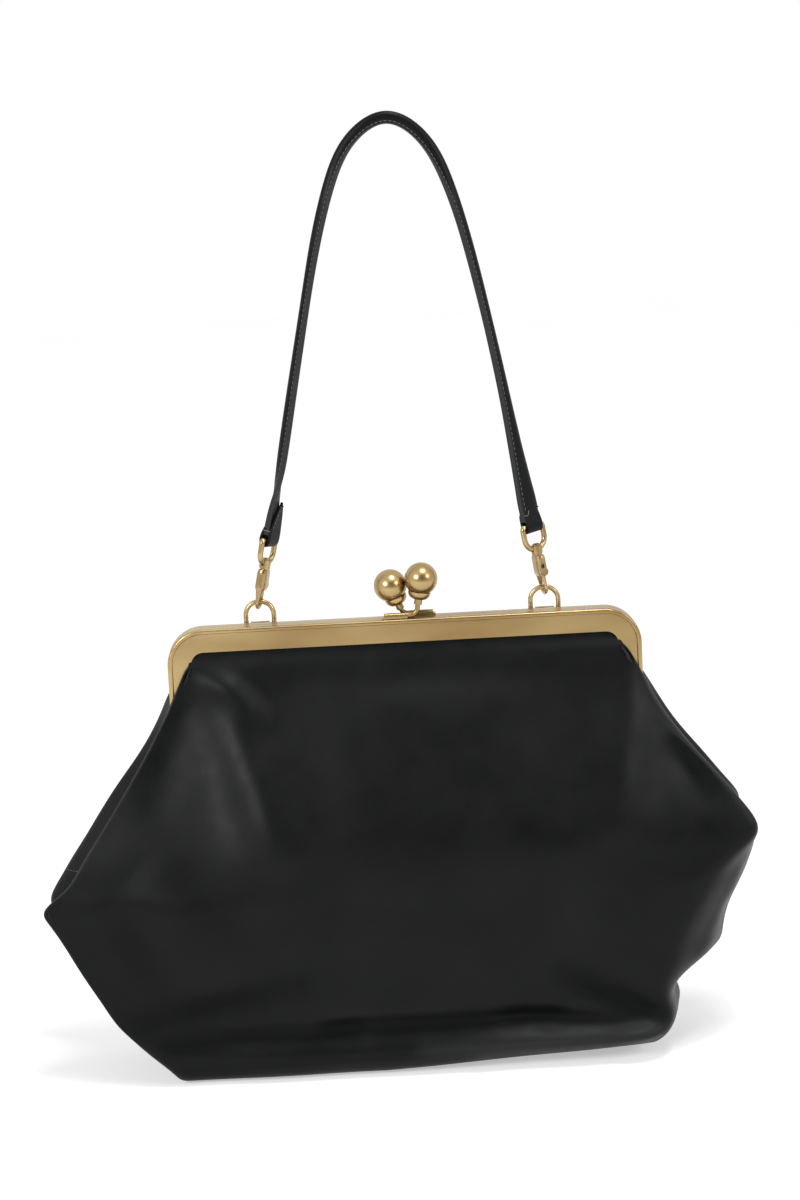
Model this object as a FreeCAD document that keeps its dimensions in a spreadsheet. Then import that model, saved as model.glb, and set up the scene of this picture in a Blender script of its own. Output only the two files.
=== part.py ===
import FreeCAD, Part
import math
import os
import Sketcher

# A kiss lock frame purse: soft leather bag, hinged brass frame, ring and snap hook strap.
# X runs to the wearer's right seen from the front, Y runs to the back, Z runs up.
# The centre of the base is the origin.

V = FreeCAD.Vector
X_AXIS, Y_AXIS, Z_AXIS = V(1, 0, 0), V(0, 1, 0), V(0, 0, 1)

# Driving sizes in millimetres. Names that end in _turn are degrees.
SIZES = {
    # frame halves
    "frame_height": 240.0,
    "frame_width": 250.0,
    "frame_corner": 19.0,
    "arm_length": 54.0,
    "hinge_below": 6.0,
    "metal": 1.2,
    "split_gap": 0.1,
    "channel_depth": 6.0,
    "face_height": 12.3,
    "lip_height": 8.0,
    "bead_width": 2.6,
    "bead_rise": 0.9,
    "bead_round": 1.2,
    "bead_foot_round": 0.7,
    "split_round": 0.5,
    "ear_radius": 5.5,
    "ear_gap": 0.1,
    "ear_lap": 5.0,
    # hinge rivets
    "rivet_diameter": 3.0,
    "rivet_head": 5.8,
    "rivet_crown": 1.2,
    "running_clearance": 0.05,
    "end_play": 0.1,
    # cords that wedge the leather in the frame
    "cord_diameter": 1.6,
    "cord_inset": 2.4,
    "cord_depth": 2.25,
    # kiss lock
    "ball_diameter": 17.4,
    "knob_rod": 2.6,
    "rod_height": 1.5,
    "rod_bend": 4.0,
    "lock_depth": 3.1,
    "plate_width": 4.0,
    "plate_thickness": 1.2,
    "sleeve_diameter": 2.8,
    "sleeve_inset": 1.2,
    "collar_width": 11.8,
    "collar_lip": 6.8,
    "collar_root": 11.0,
    "collar_round": 4.0,
    "neck_diameter": 4.2,
    "neck_length": 2.6,
    "rod_socket": 8.9,
    "front_ball_x": 10.2,
    "front_ball_height": 20.4,
    "front_lean_turn": 9.5,
    "front_butt_x": 2.2,
    "front_plate_end_x": -11.4,
    "rear_ball_x": -6.0,
    "rear_ball_height": 16.6,
    "rear_lean_turn": -21.7,
    "rear_butt_x": 3.4,
    "rear_plate_end_x": 17.2,
    # strap rings and their lugs
    "ring_spacing": 151.0,
    "ring_wire": 2.6,
    "ring_width": 14.8,
    "ring_rise": 10.7,
    "ring_drop": 1.8,
    "ring_top_round": 7.0,
    "ring_foot_round": 1.6,
    "ring_setback": 9.0,
    "lug_diameter": 4.0,
    "lug_length": 10.0,
    "lug_foot_height": 11.0,
    "lug_foot_top": 2.8,
    "lug_foot_thickness": 1.6,
    # swivel snap hooks, heights measured from the ring wire that the hook holds
    "hook_wire": 2.0,
    "throat": 2.5,
    "throat_play": 0.9,
    "hook_tip": 0.8,
    "hook_straight": 0.05,
    "hook_root": 1.0,
    "barrel_bottom": 6.5,
    "barrel_top": 17.5,
    "barrel_width": 5.6,
    "barrel_front": 1.5,
    "barrel_back": 1.5,
    "barrel_flat": 0.2,
    "barrel_bevel": 1.5,
    "barrel_taper": 0.8,
    "barrel_trim": 0.25,
    "shank_length": 5.0,
    "shank_swell": 1.2,
    "shank_offset": 0.9,
    "shank_step": 0.1,
    "neck_top": 18.2,
    "barrel_neck": 4.8,
    "swivel_play": 0.1,
    "boss_diameter": 6.0,
    "boss_height": 4.3,
    "swivel_shaft": 2.6,
    "swivel_head": 4.4,
    "swivel_crown": 1.1,
    "swivel_depth": 4.0,
    "eye_wire": 3.0,
    "eye_width": 13.4,
    "eye_low": 20.6,
    "eye_bar": 33.5,
    "eye_low_round": 6.4,
    "eye_top_round": 1.9,
    "plunger": 1.8,
    "plunger_top": 10.5,
    "plunger_gap": 0.1,
    "bore_top": 16.5,
    "knob_height": 8.8,
    "knob_pin": 1.4,
    "knob_width": 4.4,
    "knob_thickness": 1.4,
    "knob_gap": 0.3,
    "slot_width": 1.7,
    "gate_travel": 3.2,
    "spring_wall": 0.35,
    "left_eye_turn": 30.0,
    "right_eye_turn": 55.0,
    "left_hook_turn": -15.0,
    "right_hook_turn": 195.0,
    # strap
    "strap_radial": 6.6,
    "strap_depth": 5.0,
    "strap_round": 1.6,
    "strap_end_length": 34.0,
    "strap_end_width": 9.8,
    "strap_end_depth": 4.6,
    "strap_loop": 5.8,
    "left_shoulder_share": -0.359,
    "left_shoulder_height": 235.1,
    "apex_share": 0.056,
    "apex_height": 268.5,
    "right_shoulder_share": 0.507,
    "right_shoulder_height": 238.0,
    "right_leg_share": 0.784,
    "right_leg_height": 120.5,
    "apex_round_share": 0.1325,
    "shoulder_round_share": 0.464,
    "leg_round_share": 3.97,
    # soft leather and lining
    "leather": 1.5,
    "lining_gap": 0.1,
    "lining": 0.4,
    "channel_play": 0.15,
    "mouth_below": 7.0,
    "hinge_belly": 19.0,
}

# Levels of the leather in the frame: drop below the frame's top, how far its edge lies
# inside the frame's outside, and how far the middle bellies out.
FRAME_FIELDS = ("drop", "inset", "belly")
FRAME_LEVELS = {
    "rim": (2.0, 20.0, 0.0),
    "brow": (6.0, 13.0, 0.0),
    "lip": (14.5, 8.0, 0.0),
    "waist": (38.0, 8.0, 9.5),
}
# Levels of the bag below the hinge: share of the height from base to mouth, how far the
# folds stand outside the frame, half depth at the folds, belly, how far the side tucks in,
# and how far the level has slumped sideways.
BODY_FIELDS = ("share", "spread", "half_depth", "belly", "tuck", "shift")
BODY_LEVELS = {
    "mouth": (1.0, 17.0, 16.0, 13.0, 11.0, 2.5),
    "shoulder": (0.82, 41.5, 26.0, 14.5, 22.0, 3.0),
    "shelf": (0.72, 52.0, 32.0, 12.5, 28.0, 2.0),
    "wing": (0.56, 56.0, 37.5, 8.5, 34.0, -14.0),
    "flank": (0.375, 40.5, 38.5, 7.0, 24.0, -13.5),
    "crease": (0.2, 22.0, 36.0, 2.5, 18.0, -13.5),
    "roll": (0.1, 11.5, 40.0, 1.5, 12.0, -5.5),
    "base": (0.0, -2.5, 32.0, 1.0, 7.0, -5.5),
}
FLANK_START = 0.92

doc = FreeCAD.newDocument("frame_purse")
sheet = doc.addObject("Spreadsheet::Sheet", "Sizes")
for fields, table in ((FRAME_FIELDS, FRAME_LEVELS), (BODY_FIELDS, BODY_LEVELS)):
    for level_name, level_values in table.items():
        for field, number in zip(fields, level_values):
            SIZES[f"{level_name}_{field}"] = number
for row, (alias, number) in enumerate(SIZES.items(), start=1):
    sheet.set(f"A{row}", alias)
    sheet.set(f"B{row}", str(number))
    sheet.setAlias(f"B{row}", alias)
doc.recompute()


class Dim:
    """A length that carries its number and the sheet formula that gives it."""

    def __init__(self, value, text):
        self.value = value
        self.text = text

    def join(self, other, sign, value):
        return Dim(value, f"({self.text} {sign} {dim(other).text})")

    def __add__(self, other):
        return self.join(other, "+", self.value + dim(other).value)

    def __sub__(self, other):
        return self.join(other, "-", self.value - dim(other).value)

    def __mul__(self, other):
        return self.join(other, "*", self.value * dim(other).value)

    def __truediv__(self, other):
        return self.join(other, "/", self.value / dim(other).value)

    def __neg__(self):
        return Dim(-self.value, f"(0 - {self.text})")


def dim(number):
    """A plain number as a Dim."""
    return number if isinstance(number, Dim) else Dim(float(number), repr(float(number)))


def size(alias):
    """A driving size from the sheet."""
    return Dim(float(sheet.get(alias)), f"Sizes.{alias}")


def tangent(angle):
    """The tangent of an angle in degrees."""
    return Dim(math.tan(math.radians(angle.value)), f"tan({angle.text} * 1 deg)")


def new_body(label):
    body = doc.addObject("PartDesign::Body", label)
    body.Label = label
    return body


def new_sketch(body, role, name, offset=None, placement=None):
    """A sketch on one of the body's own planes, moved along its normal by offset."""
    sketch = body.newObject("Sketcher::SketchObject", f"{body.Name}_{name}")
    plane = [f for f in body.Origin.OriginFeatures if f.Role == role][0]
    sketch.AttachmentSupport = [(plane, "")]
    sketch.MapMode = "FlatFace"
    if placement is not None:
        sketch.AttachmentOffset = placement
    if offset is not None:
        sketch.setExpression("AttachmentOffset.Base.z", dim(offset).text)
    return sketch


class Rules:
    """Sketch constraints gathered in a list, with the sheet formula of each one that has a size."""

    def __init__(self, sketch):
        self.sketch = sketch
        self.rules = []
        self.formulas = {}

    def add(self, *rule, length=None):
        if length is not None:
            self.formulas[len(self.rules)] = length.text
            rule = (*rule, length.value)
        self.rules.append(Sketcher.Constraint(*rule))

    def fix_point(self, geometry, end, x, y):
        """Tie a point to its distances from the sketch's origin."""
        for kind, axis, length in (("DistanceX", -2, dim(x)), ("DistanceY", -1, dim(y))):
            if length.value == 0:
                self.add("PointOnObject", geometry, end, axis)
            else:
                self.add(kind, -1, 1, geometry, end, length=length)

    def apply(self):
        first = self.sketch.ConstraintCount
        self.sketch.addConstraint(self.rules)
        for index, formula in self.formulas.items():
            self.sketch.setExpression(f"Constraints[{first + index}]", formula)


def add_circle(sketch, x, y, radius):
    circle = Part.Circle(V(dim(x).value, dim(y).value, 0), Z_AXIS, dim(radius).value)
    geometry = sketch.addGeometry(circle)
    rules = Rules(sketch)
    rules.fix_point(geometry, 3, x, y)
    rules.add("Radius", geometry, length=dim(radius))
    rules.apply()


def round_corner(before, corner, after, radius):
    """Where a corner's round starts and ends, and its arc drawn anticlockwise."""
    back = (before - corner).normalize()
    ahead = (after - corner).normalize()
    half = back.getAngle(ahead) / 2
    start = corner + back * (radius / math.tan(half))
    end = corner + ahead * (radius / math.tan(half))
    centre = corner + (back + ahead).normalize() * (radius / math.sin(half))
    anticlockwise = back.cross(ahead).z < 0
    first, last = (start, end) if anticlockwise else (end, start)
    angles = [math.atan2(p.y - centre.y, p.x - centre.x) for p in (first, last)]
    if angles[1] < angles[0]:
        angles[1] += 2 * math.pi
    return start, end, Part.ArcOfCircle(Part.Circle(centre, Z_AXIS, radius), *angles), anticlockwise


def add_route(sketch, corners, closed=False):
    """Straight runs through the corners (x, y, round), with tangent arcs at rounded ones."""
    count = len(corners)
    points = [V(dim(c[0]).value, dim(c[1]).value, 0) for c in corners]
    leaves = list(points)
    meets = list(points)
    arcs = {}
    for i, corner in enumerate(corners):
        if dim(corner[2]).value > 0:
            meets[i], leaves[i], arc, forward = round_corner(
                points[i - 1], points[i], points[(i + 1) % count], dim(corner[2]).value)
            arcs[i] = (arc, (1, 2) if forward else (2, 1))
    runs = count if closed else count - 1
    lines = [sketch.addGeometry(Part.LineSegment(leaves[i], meets[(i + 1) % count])) for i in range(runs)]
    rules = Rules(sketch)
    for i, (x, y, radius) in enumerate(corners):
        came, goes = lines[i - 1], lines[i % runs]
        if i in arcs:
            arc = sketch.addGeometry(arcs[i][0])
            first, last = arcs[i][1]
            corner = sketch.addGeometry(Part.Point(points[i]), True)
            rules.fix_point(corner, 1, x, y)
            rules.add("PointOnObject", corner, 1, came)
            rules.add("PointOnObject", corner, 1, goes)
            rules.add("Tangent", came, 2, arc, first)
            rules.add("Tangent", goes, 1, arc, last)
            rules.add("Radius", arc, length=dim(radius))
        elif not closed and i == count - 1:
            rules.fix_point(came, 2, x, y)
        else:
            rules.fix_point(goes, 1, x, y)
            if closed or i > 0:
                rules.add("Coincident", came, 2, goes, 1)
    rules.apply()


def rectangle(sketch, x0, y0, x1, y1, radius=0):
    add_route(sketch, [(x0, y0, radius), (x1, y0, radius), (x1, y1, radius), (x0, y1, radius)], True)


def add_feature(body, kind, sketch, name):
    feature = body.newObject(f"PartDesign::{kind}", f"{body.Name}_{name}")
    feature.Profile = sketch
    return feature


def pad(body, sketch, length, name):
    """Add material along the sketch's normal."""
    feature = add_feature(body, "Pad", sketch, name)
    feature.setExpression("Length", dim(length).text)


def pocket(body, sketch, length, name, forward):
    """Cut along the sketch's normal (forward) or against it."""
    feature = add_feature(body, "Pocket", sketch, name)
    feature.Reversed = forward
    feature.setExpression("Length", dim(length).text)


def sweep(body, section, path, name):
    feature = add_feature(body, "AdditivePipe", section, name)
    feature.Spine = path


def loft(body, sketches, name):
    """Straight sides from each sketch to the next."""
    feature = add_feature(body, "AdditiveLoft", sketches[0], name)
    feature.Sections = sketches[1:]
    feature.Ruled = True


def spin(body, sketch, name):
    """Turn the sketch about its vertical axis."""
    feature = add_feature(body, "Revolution", sketch, name)
    feature.ReferenceAxis = (sketch, ["V_Axis"])
    feature.Angle = 360


def turn(axis, degrees):
    return FreeCAD.Rotation(axis, degrees)


nodes = []

half_width = size("frame_width") / 2
frame_top = size("frame_height")
arm_z = frame_top - size("arm_length")
hinge_z = arm_z - size("hinge_below")
back_of_frame = size("split_gap") + size("channel_depth")
SIDES = {"left": -1, "right": 1}


# Frame halves

def frame_half(label, facing, ear_inset, hole_clearance):
    """A rolled channel bent to an inverted U, with a hinge ear at each end."""
    body = new_body(label)
    gap = size("split_gap")
    metal = size("metal")
    outer = -half_width
    depth = back_of_frame
    proud = depth + size("bead_rise")
    section = [
        (outer, gap, size("split_round")),
        (outer, proud, size("bead_round")),
        (outer + size("bead_width"), proud, size("bead_foot_round")),
        (outer + size("bead_width"), depth, 0),
        (outer + size("face_height"), depth, 0),
        (outer + size("face_height"), depth - metal, 0),
        (outer + metal, depth - metal, 0),
        (outer + metal, gap + metal, 0),
        (outer + size("lip_height"), gap + metal, 0),
        (outer + size("lip_height"), gap, 0),
    ]
    profile = new_sketch(body, "XY_Plane", "section", arm_z)
    add_route(profile, [(x, y * facing, r) for x, y, r in section], True)
    path = new_sketch(body, "XZ_Plane", "path")
    corner = size("frame_corner")
    add_route(path, [(-half_width, arm_z, 0), (-half_width, frame_top, corner),
                     (half_width, frame_top, corner), (half_width, arm_z, 0)])
    sweep(body, profile, path, "channel")
    outside = half_width - ear_inset
    for side, start in (("left", -outside), ("right", outside - metal)):
        strip = new_sketch(body, "YZ_Plane", f"{side}_strip", start)
        rectangle(strip, gap * facing, hinge_z, depth * facing, arm_z + size("ear_lap"))
        pad(body, strip, metal, f"{side}_strip_pad")
        disc = new_sketch(body, "YZ_Plane", f"{side}_ear", start)
        add_circle(disc, 0, hinge_z, size("ear_radius"))
        pad(body, disc, metal, f"{side}_ear_pad")
        hole = new_sketch(body, "YZ_Plane", f"{side}_hole", start)
        add_circle(hole, 0, hinge_z, size("rivet_diameter") / 2 + hole_clearance)
        pocket(body, hole, metal, f"{side}_bore", True)
    nodes.append(body)


frame_half("front_frame", -1, -size("ear_gap"), size("running_clearance"))
frame_half("rear_frame", 1, size("metal"), dim(0))


def hinge_rivet(side, sign):
    """A headed pin through both ears of one hinge."""
    body = new_body(f"{side}_hinge_rivet")
    shaft = size("rivet_diameter") / 2
    head = size("rivet_head") / 2
    crown = size("rivet_crown")
    grip = size("metal") * 2 + size("ear_gap") + size("end_play")
    profile = new_sketch(body, "XZ_Plane", "profile")
    add_route(profile, [(0, -crown, 0), (head * 0.6, -crown, 0), (head, -crown * 0.4, 0), (head, 0, 0),
                        (shaft, 0, 0), (shaft, grip, 0), (head, grip, 0),
                        (head, grip + crown * 0.4, 0), (head * 0.6, grip + crown, 0),
                        (0, grip + crown, 0)], True)
    spin(body, profile, "pin")
    inside = half_width - size("metal") * 2
    body.Placement = FreeCAD.Placement(V(sign * inside.value, 0, hinge_z.value), turn(Y_AXIS, sign * 90))
    nodes.append(body)


def frame_cord(label, facing):
    """The twisted paper cord that wedges the leather in one channel."""
    body = new_body(label)
    run = half_width - size("cord_inset")
    top = frame_top - size("cord_inset")
    corner = size("frame_corner") - size("cord_inset")
    depth = size("cord_depth") * facing
    start = arm_z + size("ear_lap") * 2
    path = new_sketch(body, "XZ_Plane", "path", -depth)
    add_route(path, [(-run, start, 0), (-run, top, corner), (run, top, corner), (run, start, 0)])
    profile = new_sketch(body, "XY_Plane", "section", start)
    add_circle(profile, -run, depth, size("cord_diameter") / 2)
    sweep(body, profile, path, "cord")
    nodes.append(body)


for side, sign in SIDES.items():
    hinge_rivet(side, sign)
frame_cord("front_frame_cord", -1)
frame_cord("rear_frame_cord", 1)


# Kiss lock: a plate, bent rod, collar and ball on each half

def lock_knob(half, facing):
    depth = size("lock_depth") * facing
    ball_x = size(f"{half}_ball_x")
    ball_z = frame_top + size(f"{half}_ball_height")
    lean = size(f"{half}_lean_turn")
    butt = size(f"{half}_butt_x")
    end = size(f"{half}_plate_end_x")
    near = depth - size("plate_width") / 2
    far = depth + size("plate_width") / 2

    plate = new_body(f"{half}_lock_plate")
    strip = new_sketch(plate, "XY_Plane", "strip", frame_top)
    rectangle(strip, butt, near, end, far)
    pad(plate, strip, size("plate_thickness"), "strip_pad")
    rod_z = frame_top + size("rod_height")
    first, last = butt, end - size("sleeve_inset")
    if end.value < butt.value:
        first, last = end + size("sleeve_inset"), butt
    sleeve = new_sketch(plate, "YZ_Plane", "sleeve", first)
    add_circle(sleeve, depth, rod_z, size("sleeve_diameter") / 2)
    pad(plate, sleeve, last - first, "sleeve_pad")
    nodes.append(plate)

    stem = new_body(f"{half}_lock_stem")
    bend_x = ball_x - tangent(lean) * (ball_z - rod_z)
    away = V(math.sin(math.radians(lean.value)), 0, math.cos(math.radians(lean.value)))
    rod_end = V(ball_x.value, 0, ball_z.value) - away * size("rod_socket").value
    path = new_sketch(stem, "XZ_Plane", "path", -depth)
    add_route(path, [(butt, rod_z, 0), (bend_x, rod_z, size("rod_bend")), (rod_end.x, rod_end.z, 0)])
    section = new_sketch(stem, "YZ_Plane", "section", butt)
    add_circle(section, depth, rod_z, size("knob_rod") / 2)
    sweep(stem, section, path, "rod")
    nodes.append(stem)

    place = FreeCAD.Placement(V(ball_x.value, depth.value, ball_z.value), turn(Y_AXIS, lean.value))
    ball = doc.addObject("Part::Sphere", f"{half}_lock_ball")
    ball.setExpression("Radius", (size("ball_diameter") / 2).text)
    ball.Placement = place
    nodes.append(ball)

    cup = new_body(f"{half}_cup")
    bowl = new_sketch(cup, "XZ_Plane", "bowl")
    rim = size("collar_width") / 2
    add_route(bowl, [(0, -size("collar_root"), 0), (rim, -size("collar_root"), size("collar_round")),
                     (rim, -size("collar_lip"), 0), (0, -size("collar_lip"), 0)], True)
    spin(cup, bowl, "cup")
    cup.Placement = place
    neck = doc.addObject("Part::Cylinder", f"{half}_neck")
    neck.setExpression("Radius", (size("neck_diameter") / 2).text)
    neck.setExpression("Height", (size("neck_length") + size("collar_round") / 2).text)
    low = size("collar_root") + size("neck_length")
    neck.Placement = place * FreeCAD.Placement(V(0, 0, -low.value), FreeCAD.Rotation())
    solid = doc.addObject("Part::Fuse", f"{half}_collar_blank")
    solid.Base = cup
    solid.Tool = neck
    seat = doc.addObject("Part::Sphere", f"{half}_collar_seat")
    seat.setExpression("Radius", (size("ball_diameter") / 2).text)
    seat.Placement = place
    seated = doc.addObject("Part::Cut", f"{half}_collar_seated")
    seated.Base = solid
    seated.Tool = seat
    bore = doc.addObject("Part::Cylinder", f"{half}_collar_bore")
    bore.setExpression("Radius", (size("knob_rod") / 2).text)
    bore.setExpression("Height", (low - size("rod_socket")).text)
    bore.Placement = neck.Placement
    collar = doc.addObject("Part::Cut", f"{half}_lock_collar")
    collar.Base = seated
    collar.Tool = bore
    nodes.append(collar)


lock_knob("front", -1)
lock_knob("rear", 1)


# Strap rings and the lugs that hold them behind the rear frame

def strap_ring(side, sign):
    body = new_body(f"{side}_ring")
    half = size("ring_width") / 2
    low = -size("ring_drop")
    high = size("ring_rise")
    path = new_sketch(body, "XZ_Plane", "path")
    add_route(path, [(0, low, 0), (half, low, size("ring_foot_round")), (half, high, size("ring_top_round")),
                     (-half, high, size("ring_top_round")), (-half, low, size("ring_foot_round"))], True)
    section = new_sketch(body, "YZ_Plane", "section")
    add_circle(section, 0, low, size("ring_wire") / 2)
    sweep(body, section, path, "wire")
    middle = size("ring_spacing") / 2 * sign
    body.Placement = FreeCAD.Placement(V(middle.value, size("ring_setback").value, frame_top.value),
                                       FreeCAD.Rotation())
    nodes.append(body)


def ring_lug(side, sign):
    body = new_body(f"{side}_ring_lug")
    start = size("ring_spacing") / 2 * sign - size("lug_length") / 2
    axis_z = frame_top - size("ring_drop")
    foot = new_sketch(body, "YZ_Plane", "foot", start)
    rectangle(foot, back_of_frame, frame_top - size("lug_foot_height"),
              back_of_frame + size("lug_foot_thickness"), frame_top - size("lug_foot_top"))
    pad(body, foot, size("lug_length"), "foot_pad")
    tube = new_sketch(body, "YZ_Plane", "tube", start)
    add_circle(tube, size("ring_setback"), axis_z, size("lug_diameter") / 2)
    pad(body, tube, size("lug_length"), "tube_pad")
    bore = new_sketch(body, "YZ_Plane", "bore", start)
    add_circle(bore, size("ring_setback"), axis_z, size("ring_wire") / 2 + size("running_clearance"))
    pocket(body, bore, size("lug_length"), "bore_cut", True)
    nodes.append(body)


for side, sign in SIDES.items():
    strap_ring(side, sign)
    ring_lug(side, sign)


# Strap route, in the plane of the rings, from the left ring over the top to the right ring

def route_point(name):
    """A corner of the route: its share of half the rings' spacing, and its height."""
    return size("ring_spacing") / 2 * size(f"{name}_share"), frame_top + size(f"{name}_height")


def route_spot(name):
    x, z = route_point(name)
    return V(x.value, size("ring_setback").value, z.value)


left_bend = route_spot("left_shoulder")
right_bend = route_spot("right_leg")
ring_tops = {side: V(sign * size("ring_spacing").value / 2, size("ring_setback").value,
                     frame_top.value + size("ring_rise").value) for side, sign in SIDES.items()}
pull = {"left": (left_bend - ring_tops["left"]).normalize(),
        "right": (right_bend - ring_tops["right"]).normalize()}
leans = {side: math.degrees(math.atan2(pull[side].x, pull[side].z)) for side in SIDES}


def on_hook(side, about):
    """A place on a hook's line of pull, turned about that line."""
    return FreeCAD.Placement(ring_tops[side], turn(Y_AXIS, leans[side]) * turn(Z_AXIS, about))


# Swivel snap hooks

crook = size("throat") + size("hook_wire") / 2
crook_z = size("throat") - size("throat_play") - size("ring_wire") / 2


def swivel_eye(side):
    """The loop that the strap goes round, with a boss for the swivel rivet."""
    body = new_body(f"{side}_swivel_eye")
    half = size("eye_width") / 2
    low = size("eye_low")
    bar = size("eye_bar")
    path = new_sketch(body, "YZ_Plane", "path")
    add_route(path, [(0, low, 0), (half, low, size("eye_low_round")), (half, bar, size("eye_top_round")),
                     (-half, bar, size("eye_top_round")), (-half, low, size("eye_low_round"))], True)
    section = new_sketch(body, "XZ_Plane", "section")
    add_circle(section, 0, low, size("eye_wire") / 2)
    sweep(body, section, path, "loop")
    foot = size("neck_top") + size("swivel_play")
    boss = new_sketch(body, "XY_Plane", "boss", foot)
    add_circle(boss, 0, 0, size("boss_diameter") / 2)
    pad(body, boss, size("boss_height"), "boss_pad")
    bore = new_sketch(body, "XY_Plane", "bore", foot)
    add_circle(bore, 0, 0, size("swivel_shaft") / 2 + size("running_clearance"))
    pocket(body, bore, size("boss_height"), "bore_cut", True)
    body.Placement = on_hook(side, -size(f"{side}_eye_turn").value)
    nodes.append(body)


def swivel_rivet(side, about):
    """The headed pin that holds the eye on the hook."""
    body = new_body(f"{side}_swivel_rivet")
    shaft = size("swivel_shaft") / 2
    head = size("swivel_head") / 2
    seat = size("neck_top") + size("swivel_play") * 2 + size("boss_height")
    low = size("neck_top") - size("swivel_depth")
    crown = size("swivel_crown")
    profile = new_sketch(body, "XZ_Plane", "profile")
    add_route(profile, [(0, low, 0), (shaft, low, 0), (shaft, seat, 0), (head, seat, 0),
                        (head, seat + crown * 0.4, 0), (head * 0.6, seat + crown, 0),
                        (0, seat + crown, 0)], True)
    spin(body, profile, "pin")
    body.Placement = on_hook(side, about)
    nodes.append(body)


def barrel_ring(body, name, height, narrowed):
    """The barrel's rounded outline at one height, narrower at its two ends."""
    half = size("barrel_width") / 2
    trim = dim(0)
    if narrowed:
        half = half * size("barrel_taper")
        trim = size("barrel_trim")
    ring = new_sketch(body, "XY_Plane", name, height)
    rectangle(ring, -half, trim - crook - size("barrel_back"), half, crook + size("barrel_front") - trim,
              half - size("barrel_flat"))
    return ring


def hook_body(side, about):
    """The barrel with its crook, bored for the gate and slotted for the thumb knob."""
    body = new_body(f"{side}_hook_body")
    bottom = size("barrel_bottom")
    path = new_sketch(body, "YZ_Plane", "path")
    low = crook_z - crook
    turn_radius = crook - size("hook_straight")
    root = bottom + size("hook_root")
    add_route(path, [(-crook, root, 0), (-crook, low, turn_radius), (crook, low, turn_radius),
                     (crook, crook_z + size("hook_tip"), 0)])
    section = new_sketch(body, "XY_Plane", "section", root)
    add_circle(section, 0, -crook, size("hook_wire") / 2)
    sweep(body, section, path, "crook")
    shank = new_sketch(body, "XY_Plane", "shank", bottom + size("hook_root") / 2)
    add_circle(shank, 0, size("shank_offset") - crook, size("hook_wire") / 2 + size("shank_swell"))
    ankle = new_sketch(body, "XY_Plane", "ankle", bottom - size("shank_length"))
    add_circle(ankle, 0, -crook, size("hook_wire") / 2 + size("shank_step"))
    loft(body, [shank, ankle], "shank_loft")
    bevel = size("barrel_bevel")
    top = size("barrel_top")
    rings = [("foot", bottom, True), ("low", bottom + bevel, False),
             ("high", top - bevel, False), ("crown", top, True)]
    loft(body, [barrel_ring(body, *ring) for ring in rings], "barrel_loft")
    neck = new_sketch(body, "XY_Plane", "neck", size("barrel_top"))
    add_circle(neck, 0, 0, size("barrel_neck") / 2)
    pad(body, neck, size("neck_top") - size("barrel_top"), "neck_pad")
    socket = new_sketch(body, "XY_Plane", "socket", size("neck_top"))
    add_circle(socket, 0, 0, size("swivel_shaft") / 2)
    pocket(body, socket, size("swivel_depth"), "socket_cut", False)
    bore = new_sketch(body, "XY_Plane", "bore", bottom)
    add_circle(bore, 0, crook, size("plunger") / 2 + size("running_clearance"))
    pocket(body, bore, size("bore_top") - bottom, "bore_cut", True)
    slot = new_sketch(body, "XZ_Plane", "slot", -crook)
    wide = size("slot_width") / 2
    foot = size("knob_height") - wide
    rectangle(slot, -wide, foot, wide, size("knob_height") + size("gate_travel") + wide)
    pocket(body, slot, size("barrel_front") + size("hook_root"), "slot_cut", False)
    body.Placement = on_hook(side, about)
    nodes.append(body)


def gate(side, about):
    """The sprung bolt that closes the crook, its thumb knob and its spring."""
    place = on_hook(side, about)
    low = crook_z + size("hook_tip") + size("plunger_gap")
    plunger = new_body(f"{side}_gate_plunger")
    rod = new_sketch(plunger, "XY_Plane", "rod", low)
    add_circle(rod, 0, crook, size("plunger") / 2)
    pad(plunger, rod, size("plunger_top") - low, "rod_pad")
    cross = new_sketch(plunger, "XZ_Plane", "cross", -crook)
    add_circle(cross, 0, size("knob_height"), size("knob_pin") / 2)
    pocket(plunger, cross, size("plunger"), "cross_cut", False)
    plunger.Placement = place
    nodes.append(plunger)

    knob = new_body(f"{side}_gate_knob")
    pin = size("knob_pin") / 2
    disc = size("knob_width") / 2
    face = size("barrel_front") + size("knob_gap")
    thick = size("knob_thickness")
    profile = new_sketch(knob, "XZ_Plane", "profile")
    add_route(profile, [(0, 0, 0), (pin, 0, 0), (pin, face, 0), (disc, face, 0),
                        (disc, face + thick * 0.7, 0), (disc * 0.85, face + thick, 0),
                        (0, face + thick, 0)], True)
    spin(knob, profile, "stud")
    knob.Placement = place * FreeCAD.Placement(V(0, crook.value, size("knob_height").value),
                                               turn(X_AXIS, -90))
    nodes.append(knob)

    spring = new_body(f"{side}_gate_spring")
    ring = new_sketch(spring, "XY_Plane", "ring", size("plunger_top") + size("plunger_gap"))
    outside = size("plunger") / 2 - size("running_clearance")
    add_circle(ring, 0, crook, outside)
    add_circle(ring, 0, crook, outside - size("spring_wall"))
    pad(spring, ring, size("bore_top") - size("plunger_top") - size("plunger_gap") * 2, "coil")
    spring.Placement = place
    nodes.append(spring)


for side in SIDES:
    hook_turn = size(f"{side}_hook_turn").value
    swivel_eye(side)
    swivel_rivet(side, hook_turn)
    hook_body(side, hook_turn)
    gate(side, hook_turn)


# Strap

end_reach = size("eye_bar").value + size("strap_end_length").value
strap_starts = {side: ring_tops[side] + pull[side] * end_reach for side in SIDES}


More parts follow.
